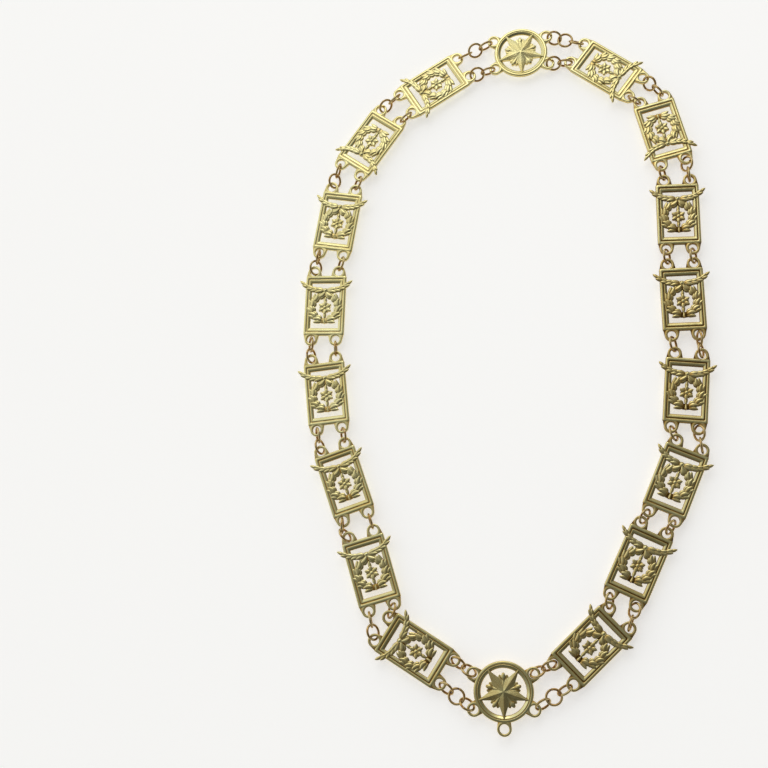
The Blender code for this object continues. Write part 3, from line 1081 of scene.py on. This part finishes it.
@dataclass
class CollarLayout:
    """Places of all castings and rings round the loop, by the solids' rules except where rings link.

    Formula: castings stand at even distances along an egg, each slid and turned by its own small
    amounts. A strand runs from loop to loop, and bows evenly until its rings just fill the span.
    Linked rings overlap by as much as their round wire needs, so they stand a little off the solids'.

    Attributes:
        half_length: Half of the egg's length.
        half_width: Half of its width before its share is added.
        egg_share: How much wider the egg is towards the back.
        egg_steps: Chords that the egg is measured by.
        halvings: Halvings of a strand's bend.
        ring_mean: Diameter of a ring's middle line.
        wire: Least distance between the middle lines of linked rings.
        ring_slide: How far a ring can slide from the middle of a loop.
        take_up: Share of a strand's spare length that its links take up.
        lies: How each casting lies.
        leans: How each ring leans.
    """

    half_length: float = 208.0
    half_width: float = 119.0
    egg_share: float = 0.14
    egg_steps: int = 3600
    halvings: int = 40
    ring_mean: float = 9.16
    wire: float = 1.56
    ring_slide: float = 1.7
    take_up: float = 0.25
    lies: list[Lie] = field(default_factory=lambda: [
        # last number of each: strength of painted shade, weak on the left and back, strong on the right and
        # front, away from the light
        Lie("medallion_back", Lead.LEFT, 0.0, 0.0, 5.0, 0.3),
        Lie("plaque_left_1", Lead.HEAD, 5.5, -2.5, -1.0, 0.35),
        Lie("plaque_left_2", Lead.HEAD, 6.0, 4.0, -3.0, 0.3),
        Lie("plaque_left_3", Lead.FOOT, 6.5, 3.5, 6.0, 0.3),
        Lie("plaque_left_4", Lead.FOOT, 6.5, 2.5, 2.0, 0.35),
        Lie("plaque_left_5", Lead.FOOT, 7.0, 2.5, 0.5, 0.5),
        Lie("plaque_left_6", Lead.FOOT, 7.0, 1.0, 5.0, 0.7),
        Lie("plaque_left_7", Lead.FOOT, 6.35, 3.0, -7.5, 0.8),
        Lie("plaque_left_8", Lead.FOOT, 1.0, 6.0, 17.0, 1.2),
        Lie("medallion_front", Lead.RIGHT, 0.0, 0.0, 3.0, 1.0),
        Lie("plaque_right_8", Lead.HEAD, 2.2, -2.0, 0.0, 1.5),
        Lie("plaque_right_7", Lead.HEAD, 1.2, -6.5, 4.0, 1.5),
        Lie("plaque_right_6", Lead.HEAD, -1.0, -4.5, -4.0, 1.3),
        Lie("plaque_right_5", Lead.HEAD, -2.3, -10.0, 5.0, 1.7),
        Lie("plaque_right_4", Lead.HEAD, 0.0, -15.5, 2.0, 1.8),
        Lie("plaque_right_3", Lead.HEAD, 1.0, -11.0, -11.0, 1.6),
        Lie("plaque_right_2", Lead.FOOT, 2.0, 1.5, -13.0, 0.8),
        Lie("plaque_right_1", Lead.FOOT, 0.0, 4.0, 1.0, 0.4),
    ])
    leans: tuple[tuple[tuple[float, ...], tuple[float, ...]], ...] = (
        # lean in degrees of each ring of the outer strand and of the inner one, after each casting
        ((85, -50, 60), (85, -50)),
        ((70, -65), (80,)),
        ((85, -50), (55,)),
        ((85, -50), (60,)),
        ((65, -65), (85,)),
        ((70, -65), (65,)),
        ((85, -65), (80,)),
        ((85, -50), (60,)),
        ((55, -2, -55), (55, -55)),
        ((60, -2, -65), (-55, 60)),
        ((80, -50), (60,)),
        ((65,), (60,)),
        ((80, -55), (60,)),
        ((65, -80), (60,)),
        ((60,), (60,)),
        ((85, -50), (60,)),
        ((85, -55), (80,)),
        ((55, -2, -55), (85, -50)),
    )

    def stations(self) -> tuple[np.ndarray, np.ndarray]:
        """Points at even distances along the egg, and the direction of the egg at each.

        Formula: the egg is (-W sin t (1 + s cos t), L cos t); a station is where the summed length of
        its chords reaches an even share of the whole.

        Returns:
            Points and directions as complex numbers.
        """
        t = np.arange(self.egg_steps + 1) * FULL_TURN / self.egg_steps
        points = -self.half_width * np.sin(t) * (1.0 + self.egg_share * np.cos(t))
        points = points + 1.0j * self.half_length * np.cos(t)
        chords = np.diff(points)
        lengths = np.abs(chords)
        walked = np.concatenate([[0.0], np.cumsum(lengths)])
        wanted = walked[-1] * np.arange(len(self.lies)) / len(self.lies)
        step = np.clip(np.searchsorted(walked, wanted, side="right") - 1, 0, self.egg_steps - 1)
        share = (wanted - walked[step]) / lengths[step]
        return points[step] + chords[step] * share, chords[step] / lengths[step]

    def castings(self) -> list[PlacedCasting]:
        """Puts every casting in its place on the loop.

        Returns:
            The castings in their order round the loop.
        """
        placed = []
        for lie, point, way in zip(self.lies, *self.stations()):
            outward = -1.0j * way
            middle = point + way * lie.slide + outward * lie.out
            heading = np.angle(outward) + math.radians(lie.turn + lie.lead.value)
            placed.append(PlacedCasting(lie, complex(middle), float(heading)))
        return placed

    def holes(self, casting: PlacedCasting) -> dict[tuple[bool, bool], complex]:
        """Middles of the four loops of a casting.

        Args:
            casting: The casting in its place.

        Returns:
            A place for each pair of answers: whether the loop leads onwards, and whether it is outer.
        """
        if casting.lie.name.startswith("medallion"):
            holes = [RIM_LOOP_REACH * np.exp(1.0j * math.radians(angle)) for angle in RIM_LOOP_ANGLES]
        else:
            holes = [complex(sx * PLAQUE_LOOP[0], sy * PLAQUE_LOOP[1]) for sx in (-1, 1) for sy in (-1, 1)]
        forward = np.exp(1.0j * math.radians(90.0 - casting.lie.lead.value))
        outward = -1.0j * forward
        turn = np.exp(1.0j * casting.heading)
        keys = [((h.conjugate() * forward).real > 0, (h.conjugate() * outward).real > 0) for h in holes]
        return {key: complex(casting.middle + turn * hole) for key, hole in zip(keys, holes)}

    def overlap(self, first: float, second: float) -> float:
        """How far two linked rings reach into each other where their wires just touch.

        Formula: with m the ring's diameter times the squared sine of half the angle between the two
        planes, the overlap is the wire's thickness w, or half of m + w w / m where m is under w.

        Args:
            first: Lean of one ring in degrees.
            second: Lean of the other.

        Returns:
            The overlap of their middle lines in millimetres.
        """
        apart = (first - second) % HALF_CIRCLE
        meeting = self.ring_mean * math.sin(math.radians(min(apart, HALF_CIRCLE - apart) / 2.0)) ** 2
        if meeting >= self.wire:
            return self.wire
        return (meeting + self.wire**2 / meeting) / 2.0

    def strand(self, start: complex, end: complex, leans: tuple[float, ...]) -> list[PlacedRing]:
        """Rings from one loop to the next.

        Formula: the rings' directions fan out evenly from +bend to -bend, and the bend is halved down
        on until their run is the span and twice the slide that the loops allow. Of the length that is
        left to spare, linked rings first take up a share by reaching further into each other.

        Args:
            start: Middle of the loop that the strand leaves.
            end: Middle of the loop that it reaches.
            leans: Lean of each ring in degrees.

        Returns:
            The rings in their places.
        """
        count, gaps = len(leans), max(len(leans) - 1, 1)
        links = np.array([0.0, *(self.overlap(a, b) for a, b in zip(leans, leans[1:])), 0.0])
        span, way = abs(end - start), (end - start) / abs(end - start)
        spare = count * self.ring_mean - links.sum() - span - 2.0 * self.ring_slide
        links[1:-1] += self.take_up * max(spare, 0.0) / gaps
        lengths = self.ring_mean - (links[:-1] + links[1:]) / 2.0
        slide = float(np.clip((lengths.sum() - span) / 2.0, -self.ring_slide, self.ring_slide))
        fan = 1.0 - 2.0 * np.arange(count) / gaps if count > 1 else np.zeros(1)
        low, high = 0.0, math.pi / 2.0
        for _ in range(self.halvings):
            bend = (low + high) / 2.0
            if (lengths * np.cos(bend * fan)).sum() > span + 2.0 * slide:
                low = bend
            else:
                high = bend
        joint, rings = start - way * slide, []
        for k, (lean, angle) in enumerate(zip(leans, (low + high) / 2.0 * fan)):
            onward = way * np.exp(-1.0j * angle)
            first = joint - onward * links[k] / 2.0
            rings.append(PlacedRing(complex(first + onward * self.ring_mean / 2.0), complex(onward), lean))
            joint = joint + onward * lengths[k]
        return rings

    def strands(self) -> Iterator[tuple[str, list[PlacedRing]]]:
        """Yields the name of each strand's node with its rings.

        Yields:
            The node's name and the rings in their places.
        """
        placed = self.castings()
        for k, here in enumerate(placed):
            there = placed[(k + 1) % len(placed)]
            leave, enter = self.holes(here), self.holes(there)
            for side, is_outer, leans in zip(("outer", "inner"), (True, False), self.leans[k]):
                name = f"rings_{here.lie.short}_{there.lie.short}_{side}"
                yield name, self.strand(leave[True, is_outer], enter[False, is_outer], leans)


# ---------------------------------------------------------------- finishes


@dataclass
class NodeBench:
    """Small helper that lays out the nodes of one material."""

    material: bpy.types.Material

    def node(self, kind: str, inputs: dict[str, object] | None = None, **settings: object) -> bpy.types.Node:
        """Adds a node.

        Args:
            kind: Blender's name for the node type.
            inputs: Input sockets by name, each a value or the socket that feeds it.
            **settings: Settings of the node itself.

        Returns:
            The new node.
        """
        tree = self.material.node_tree
        made = tree.nodes.new(kind)
        for name, value in settings.items():
            setattr(made, name, value)
        for name, value in (inputs or {}).items():
            if isinstance(value, bpy.types.NodeSocket):
                tree.links.new(value, made.inputs[name])
            else:
                made.inputs[name].default_value = value
        return made

    def noise(self, place: bpy.types.NodeSocket, scale: float, detail: float = 3.0) -> bpy.types.NodeSocket:
        """Noise over the piece's own coordinates, in metres."""
        made = self.node("ShaderNodeTexNoise", {"Vector": place, "Scale": scale, "Detail": detail})
        return made.outputs["Fac"]

    def ranged(self, value: bpy.types.NodeSocket, low: float, high: float,
               to_low: float, to_high: float) -> bpy.types.NodeSocket:
        """Maps low..high to to_low..to_high and keeps within it."""
        numbers = {"Value": value, "From Min": low, "From Max": high, "To Min": to_low, "To Max": to_high}
        return self.node("ShaderNodeMapRange", numbers).outputs["Result"]

    def sums(self, kind: str, first: object, second: object) -> bpy.types.NodeSocket:
        """One sum of two values, such as ADD or MULTIPLY, kept from 0 to 1.

        Args:
            kind: Blender's name for the sum.
            first: A value or a socket.
            second: A value or a socket.

        Returns:
            The socket of the result.
        """
        made = self.node("ShaderNodeMath", operation=kind, use_clamp=True)
        for socket, value in zip(made.inputs, (first, second)):
            if isinstance(value, bpy.types.NodeSocket):
                self.material.node_tree.links.new(value, socket)
            else:
                socket.default_value = value
        return made.outputs[0]

    def blended(self, share: bpy.types.NodeSocket, first: object, second: object) -> bpy.types.NodeSocket:
        """Colour between two others by a share.

        Args:
            share: Socket of the share of the second colour.
            first: A colour or a socket.
            second: A colour or a socket.

        Returns:
            The socket of the colour.
        """
        made = self.node("ShaderNodeMix", data_type="RGBA")
        tree = self.material.node_tree
        tree.links.new(share, made.inputs[0])
        for socket, value in zip((made.inputs[i] for i in MIX_COLOURS), (first, second)):
            if isinstance(value, bpy.types.NodeSocket):
                tree.links.new(value, socket)
            else:
                socket.default_value = value
        return made.outputs[MIX_RESULT]


@dataclass(frozen=True)
class GiltFinish:
    """Gilt metal: two tones of gold, brown painted shade in hollows, brown tarnish in patches, grain and slow
    waves.

    Attributes:
        name: Name of the material.
        slot: The record's slot that the finish belongs to.
        pale: Colour of the brightest gold.
        warm: Colour of the warmer gold that it mixes with.
        amber: Colour of the gold where painted shade and tarnish are thin.
        dark: Colour of thick painted shade and tarnish.
        tone_scale: Scale of the change from pale to warm.
        patches: Amount of tarnish outside the hollows.
        hollow_reach: Strength of the painted shade in hollows.
        roughness: Least and greatest roughness of clean metal.
        hollow_roughness: Further roughness in hollows.
        grain: Depth of the fine grain in metres.
        waves: Depth of the slow waves in metres.
        speck_scale: Scale of the specks in the painted shade of hollows.
        patch_scale: Scale of the patches of tarnish outside them.
        clean_scale: Scale of the change in the clean metal's roughness.
        grain_scale: Scale of the fine grain.
        wave_scale: Scale of the slow waves.
        tone_span: Noise from which to which the gold goes from pale to warm.
        patch_span: Noise from which to which a patch sets in.
        speck_span: Noise from which to which specks and roughness grow.
        speck_least: Least strength of a speck.
        thin_span: Painted shade and tarnish from which to which gold turns amber.
        thick_span: Painted shade and tarnish from which to which amber turns dark.
    """

    name: str
    slot: Slot
    pale: tuple[float, float, float]
    warm: tuple[float, float, float]
    amber: tuple[float, float, float]
    dark: tuple[float, float, float]
    tone_scale: float = 85.0
    patches: float = 0.05
    hollow_reach: float = 1.0
    roughness: tuple[float, float] = (0.13, 0.24)
    hollow_roughness: float = 0.3
    grain: float = 0.000012
    waves: float = 0.00005
    speck_scale: float = 900.0
    patch_scale: float = 240.0
    clean_scale: float = 420.0
    grain_scale: float = 3800.0
    wave_scale: float = 170.0
    tone_span: tuple[float, float] = (0.35, 0.65)
    patch_span: tuple[float, float] = (0.55, 0.75)
    speck_span: tuple[float, float] = (0.3, 0.7)
    speck_least: float = 0.85
    thin_span: tuple[float, float] = (0.0, 0.45)
    thick_span: tuple[float, float] = (0.4, 1.0)

    def material(self) -> bpy.types.Material:
        """Makes the node material.

        Returns:
            The new material.
        """
        made = bpy.data.materials.new(self.name)
        made.use_nodes = True
        bench = NodeBench(made)
        shader = made.node_tree.nodes["Principled BSDF"]
        place = bench.node("ShaderNodeTexCoord").outputs["Object"]
        # hollow: painted shade of each corner; specks break it up, and real tarnish lies in random patches
        hollow = bench.node("ShaderNodeAttribute", attribute_name=HOLLOW).outputs["Fac"]
        tone = bench.ranged(bench.noise(place, self.tone_scale), *self.tone_span, 0.0, 1.0)
        speck = bench.noise(place, self.speck_scale, 4.0)
        patch = bench.ranged(bench.noise(place, self.patch_scale, 4.0), *self.patch_span, 0.0, self.patches)
        least = self.speck_least * self.hollow_reach
        shade_strength = bench.ranged(speck, *self.speck_span, least, self.hollow_reach)
        shade_and_tarnish = bench.sums("ADD", bench.sums("MULTIPLY", hollow, shade_strength), patch)
        gold = bench.blended(tone, (*self.pale, 1.0), (*self.warm, 1.0))
        thin = bench.ranged(shade_and_tarnish, *self.thin_span, 0.0, 1.0)
        thick = bench.ranged(shade_and_tarnish, *self.thick_span, 0.0, 1.0)
        # gold turns amber, then dark brown, where painted shade and tarnish are thick
        colour = bench.blended(thin, gold, (*self.amber, 1.0))
        colour = bench.blended(thick, colour, (*self.dark, 1.0))
        clean = bench.ranged(bench.noise(place, self.clean_scale), *self.speck_span, *self.roughness)
        rough = bench.sums("ADD", clean, bench.sums("MULTIPLY", hollow, self.hollow_roughness))
        slow = bench.node("ShaderNodeBump", {
            "Strength": 1.0, "Distance": self.waves, "Height": bench.noise(place, self.wave_scale, 1.0),
        })
        fine = bench.node("ShaderNodeBump", {
            "Strength": 1.0, "Distance": self.grain, "Height": bench.noise(place, self.grain_scale, 2.0),
            "Normal": slow.outputs["Normal"],
        })
        shader.inputs["Metallic"].default_value = 1.0
        made.node_tree.links.new(colour, shader.inputs["Base Color"])
        made.node_tree.links.new(rough, shader.inputs["Roughness"])
        made.node_tree.links.new(fine.outputs["Normal"], shader.inputs["Normal"])
        return made


CASTING_FINISH = GiltFinish(
    name="pale_gilt_casting",
    slot=Slot.CASTING,
    pale=(0.79, 0.75, 0.40),
    warm=(0.75, 0.665, 0.30),
    # amber and dark: colours of painted shade in the hollows and of tarnish
    amber=(0.55, 0.34, 0.085),
    dark=(0.06, 0.026, 0.004),
)
WIRE_FINISH = GiltFinish(
    name="shaded_tarnished_gilt_wire",
    slot=Slot.WIRE,
    pale=(0.58, 0.48, 0.25),
    # amber and dark: colours of painted shade on the wire and of tarnish
    warm=(0.50, 0.33, 0.12),
    amber=(0.38, 0.19, 0.055),
    dark=(0.04, 0.02, 0.007),
    tone_scale=190.0,
    patches=0.55,
    hollow_reach=0.9,
    roughness=(0.12, 0.26),
    hollow_roughness=0.15,
)


@dataclass(frozen=True)
class FloorFinish:
    """Plain matt floor, nearly white, with the faintest change of tone."""

    light: tuple[float, float, float] = (0.90, 0.90, 0.89)
    shade: tuple[float, float, float] = (0.87, 0.87, 0.86)
    tone_scale: float = 3.0
    roughness: float = 0.9
    shine: float = 0.1
    glow: float = 0.3

    def material(self) -> bpy.types.Material:
        """Makes the node material.

        Returns:
            The new material.
        """
        made = bpy.data.materials.new("pale_floor")
        made.use_nodes = True
        bench = NodeBench(made)
        shader = made.node_tree.nodes["Principled BSDF"]
        place = bench.node("ShaderNodeTexCoord").outputs["Object"]
        tone = bench.noise(place, self.tone_scale)
        colour = bench.blended(tone, (*self.light, 1.0), (*self.shade, 1.0))
        made.node_tree.links.new(colour, shader.inputs["Base Color"])
        shader.inputs["Roughness"].default_value = self.roughness
        shader.inputs["Specular IOR Level"].default_value = self.shine
        shader.inputs["Emission Color"].default_value = (1.0, 1.0, 1.0, 1.0)
        shader.inputs["Emission Strength"].default_value = self.glow
        return made


# ---------------------------------------------------------------- pieces


@dataclass
class Bench:
    """Turns shells into finished pieces of the collar.

    Attributes:
        root: Shift from the layout's origin to the frame's, in millimetres.
        finishes: Material of each slot.
        film: Share of a casting's further painted shade that lies on its faces.
        triangles: Triangles made so far.
    """

    root: np.ndarray
    finishes: dict[Slot, bpy.types.Material]
    film: float = 0.08
    triangles: int = 0

    def piece(self, name: str, points: np.ndarray, shell: Shell, slot: Slot, node: str) -> bpy.types.Object:
        """Makes a piece whose place is in its mesh, and lets it stand for a node.

        Args:
            name: Name of the piece.
            points: Corners in the layout's millimetres.
            shell: The shell that the corners belong to.
            slot: Finish of the piece.
            node: The node that it stands for.

        Returns:
            The new object.
        """
        mesh = bpy.data.meshes.new(name)
        three = shell.faces[:, 2] == shell.faces[:, 3]
        used = np.ones(shell.faces.shape, bool)
        used[:, 3] = ~three
        sizes = used.sum(axis=1)
        mesh.vertices.add(len(points))
        mesh.loops.add(int(sizes.sum()))
        mesh.polygons.add(len(sizes))
        mesh.vertices.foreach_set("co", ((points + self.root) * MM).astype(np.float32).ravel())
        mesh.loops.foreach_set("vertex_index", shell.faces[used].astype(np.int32))
        mesh.polygons.foreach_set("loop_start", np.concatenate([[0], np.cumsum(sizes)[:-1]]).astype(np.int32))
        mesh.update(calc_edges=True)
        mesh.validate()
        # painted shade of each corner, stored for the finishes to darken by
        depth = mesh.attributes.new(HOLLOW, "FLOAT", "POINT")
        depth.data.foreach_set("value", np.clip(shell.hollow, 0.0, 1.0).astype(np.float32))
        mesh.shade_smooth()
        mesh.set_sharp_from_angle(angle=SHARP_EDGE)
        mesh.materials.append(self.finishes[slot])
        made = bpy.data.objects.new(name, mesh)
        bpy.context.scene.collection.objects.link(made)
        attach(made, BODY)
        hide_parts(node)
        self.triangles += int((sizes - 2).sum())
        return made

    def cast(self, casting: PlacedCasting, shell: Shell) -> None:
        """Puts a casting's shell in its place and makes the piece.

        Formula: the casting's painted shade strength multiplies the painted shade of its hollows, and what is
        over 1 also lies thinly on its faces as painted shade.

        Args:
            casting: The casting in its place.
            shell: Its shell, middle at the origin.
        """
        middle, film = casting.middle, self.film * max(casting.lie.shade_and_tarnish - 1.0, 0.0)
        darkened = Shell(shell.points, shell.faces, shell.hollow * casting.lie.shade_and_tarnish + film)
        placed = darkened.placed(casting.heading, (middle.real, middle.imag, 0.0))
        self.piece(f"cast_{casting.lie.name}", placed.points, placed, Slot.CASTING, casting.lie.name)
        log.info("piece cast_%s, %d faces", casting.lie.name, len(placed.faces))

    def strand(self, name: str, rings: list[PlacedRing], form: WireRing, number: int) -> None:
        """Makes all rings of one strand as one piece.

        Formula: a ring is leant about X, then turned to its direction and moved to its middle. Each
        ring's joint stands a golden angle on from the last.

        Args:
            name: Name of the strand's node.
            rings: The rings in their places.
            form: Shape of a ring.
            number: Number of rings made before.
        """
        shells = []
        for k, ring in enumerate(rings):
            shell = form.shell((number + k) * GOLDEN_ANGLE)
            lean = math.radians(ring.lean)
            cos, sin = math.cos(lean), math.sin(lean)
            matrix = np.array([[1.0, 0.0, 0.0], [0.0, cos, sin], [0.0, -sin, cos]])
            leant = Shell(shell.points @ matrix, shell.faces, shell.hollow)
            shells.append(leant.placed(float(np.angle(ring.way)), (ring.middle.real, ring.middle.imag, 0.0)))
        whole = joined(shells)
        self.piece(name.replace("rings_", "wire_"), whole.points, whole, Slot.WIRE, name)
        log.info("piece %s, %d rings", name.replace("rings_", "wire_"), len(rings))


def root_shift(layout: CollarLayout, node: str = "rings_left_1_left_2_inner") -> np.ndarray:
    """Shift from the layout to the frame, from the place of one strand that is a single ring.

    Args:
        layout: The collar's layout.
        node: The strand's node.

    Returns:
        The shift in millimetres.
    """
    low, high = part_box(node)
    ring = dict(layout.strands())[node][0]
    return np.array((low + high) / 2.0) / MM - np.array([ring.middle.real, ring.middle.imag, 0.0])


# ---------------------------------------------------------------- studio


@dataclass(frozen=True)
class Studio:
    """Pale floor, a soft lamp overhead and a quiet room for the metal to reflect.

    Formula: the room's brightness follows from how far a direction points to its bright side, by the
    table of tones, and a haze is added that fades from the horizon upwards.
    """

    floor_size: float = 24.0
    floor_drop: float = 0.00015
    lamp_place: tuple[float, float, float] = (-0.07, 0.94, 1.15)
    lamp_size: tuple[float, float] = (0.6, 0.6)
    lamp_watts: float = 1.3
    lamp_tint: tuple[float, float, float] = (1.0, 0.985, 0.95)
    bright_way: tuple[float, float, float] = (-0.604, 0.72, 0.342)
    tones: tuple[tuple[float, float], ...] = (
        # share towards the bright side, brightness
        (0.0, 0.1),
        (0.2, 0.15),
        (0.33, 0.24),
        (0.42, 0.28),
        (0.5, 0.33),
        (0.56, 0.43),
        (0.64, 0.62),
        (0.72, 0.86),
        (0.85, 0.9),
        (1.0, 0.75),
    )
    room_tint: tuple[float, float, float] = (1.0, 0.99, 0.95)
    haze: float = 0.58
    haze_top: float = 0.6
    glow: float = 0.52

    def floor(self) -> None:
        """Lays the floor just under the collar."""
        half = self.floor_size / 2.0
        corners = [(-half, -half), (half, -half), (half, half), (-half, half)]
        mesh = bpy.data.meshes.new("floor")
        mesh.from_pydata([(x, y, -self.floor_drop) for x, y in corners], [], [(0, 1, 2, 3)])
        mesh.materials.append(FloorFinish(glow=self.glow).material())
        made = bpy.data.objects.new("floor", mesh)
        bpy.context.scene.collection.objects.link(made)

    def lamp(self) -> None:
        """Hangs the lamp so that it faces the middle of the collar."""
        light = bpy.data.lights.new("soft_lamp", "AREA")
        light.shape = "RECTANGLE"
        light.size, light.size_y = self.lamp_size
        light.energy = self.lamp_watts
        light.color = self.lamp_tint
        made = bpy.data.objects.new("soft_lamp", light)
        made.location = self.lamp_place
        made.rotation_euler = (-Vector(self.lamp_place)).to_track_quat("-Z", "Y").to_euler()
        bpy.context.scene.collection.objects.link(made)

    def room(self) -> None:
        """Lights the room from its dark side to its bright side, with haze along the horizon."""
        world = bpy.data.worlds.new("room")
        world.use_nodes = True
        tree = world.node_tree
        place = tree.nodes.new("ShaderNodeTexCoord").outputs["Generated"]
        share = tree.nodes.new("ShaderNodeVectorMath")
        share.operation = "DOT_PRODUCT"
        share.inputs[1].default_value = self.bright_way
        tree.links.new(place, share.inputs[0])
        ramp = tree.nodes.new("ShaderNodeValToRGB")
        for position, _ in self.tones[1:-1]:
            ramp.color_ramp.elements.new(position)
        for element, (position, tone) in zip(ramp.color_ramp.elements, self.tones):
            element.position = position
            element.color = (*(tone * tint for tint in self.room_tint), 1.0)
        tree.links.new(share.outputs["Value"], ramp.inputs[0])
        height = tree.nodes.new("ShaderNodeSeparateXYZ")
        tree.links.new(place, height.inputs[0])
        haze = tree.nodes.new("ShaderNodeMapRange")
        haze.inputs["From Max"].default_value = self.haze_top
        haze.inputs["To Min"].default_value = self.haze
        haze.inputs["To Max"].default_value = 0.0
        tree.links.new(height.outputs["Z"], haze.inputs["Value"])
        total = tree.nodes.new("ShaderNodeVectorMath")
        tree.links.new(ramp.outputs["Color"], total.inputs[0])
        tree.links.new(haze.outputs["Result"], total.inputs[1])
        tree.links.new(total.outputs["Vector"], tree.nodes["Background"].inputs["Color"])
        bpy.context.scene.world = world

    def build(self) -> None:
        """Sets up floor, lamp and room."""
        self.floor()
        self.lamp()
        self.room()
        bpy.context.scene.view_settings.view_transform = "Standard"


@dataclass(frozen=True)
class ViewCamera:
    """Camera that looks down on the collar from its foot.

    Formula: the camera looks at a point on the collar's mid-plane from a distance, off the plumb line
    by the tilt towards a level bearing, and is rolled about its own view line.
    """

    lens: float = 51.5625
    sensor: float = 36.0
    look_at: tuple[float, float] = (-73.06, -19.73)
    distance: float = 700.9
    tilt: float = math.radians(15.973)
    roll: float = math.radians(31.126)
    bearing: float = math.radians(31.126 + 2.0755)
    clip: tuple[float, float] = (0.05, 20.0)

    def build(self, height: float) -> None:
        """Makes the camera the scene's own.

        Args:
            height: Height of the collar's mid-plane in millimetres.
        """
        side = Vector((math.cos(self.bearing), math.sin(self.bearing), 0.0))
        onward = Vector((-side.y, side.x, 0.0))
        up = Vector((0.0, 0.0, 1.0))
        back = math.cos(self.tilt) * up - math.sin(self.tilt) * onward
        level = math.cos(self.tilt) * onward + math.sin(self.tilt) * up
        right = math.cos(self.roll) * side - math.sin(self.roll) * level
        top = math.sin(self.roll) * side + math.cos(self.roll) * level
        place = (Vector((*self.look_at, height)) + self.distance * back) * MM
        data = bpy.data.cameras.new("view")
        data.lens = self.lens
        data.sensor_width = self.sensor
        data.clip_start, data.clip_end = self.clip
        made = bpy.data.objects.new("view", data)
        made.matrix_world = Matrix((
            (right.x, top.x, back.x, place.x),
            (right.y, top.y, back.y, place.y),
            (right.z, top.z, back.z, place.z),
            (0.0, 0.0, 0.0, 1.0),
        ))
        bpy.context.scene.collection.objects.link(made)
        bpy.context.scene.camera = made


# ---------------------------------------------------------------- whole collar


def largest_gap(layout: CollarLayout, root: np.ndarray) -> float:
    """Largest distance between a ring node's middle and its place by the layout, in millimetres.

    Args:
        layout: The collar's layout.
        root: Shift from the layout to the frame, in millimetres.

    Returns:
        The largest distance over all strands that are a single ring.
    """
    gaps = []
    for name, rings in layout.strands():
        if len(rings) == 1:
            low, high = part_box(name)
            wanted = np.array([rings[0].middle.real, rings[0].middle.imag, 0.0]) + root
            gaps.append(np.abs(np.array((low + high) / 2.0) / MM - wanted).max())
    return float(max(gaps))


def main() -> None:
    """Builds the collar, then the studio round it."""
    logging.basicConfig(level=logging.INFO, format="%(name)s: %(message)s")
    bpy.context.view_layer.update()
    layout = CollarLayout()
    root = root_shift(layout)
    log.info("largest gap between layout and frame %.4f mm", largest_gap(layout, root))
    finishes = {finish.slot: finish.material() for finish in (CASTING_FINISH, WIRE_FINISH)}
    bench = Bench(root, finishes)
    plaque = Plaque().shell()
    medallions = {
        "medallion_front": Medallion(jewel_loop=True).shell(),
        "medallion_back": Medallion(jewel_loop=False).shell(),
    }
    for casting in layout.castings():
        bench.cast(casting, medallions.get(casting.lie.name, plaque))
    ring, made = WireRing(), 0
    for name, rings in layout.strands():
        bench.strand(name, rings, ring, made)
        made += len(rings)
    log.info("%d rings, %d triangles in all", made, bench.triangles)
    Studio().build()
    ViewCamera().build(float(root[2]))


if __name__ == "__main__":
    main()
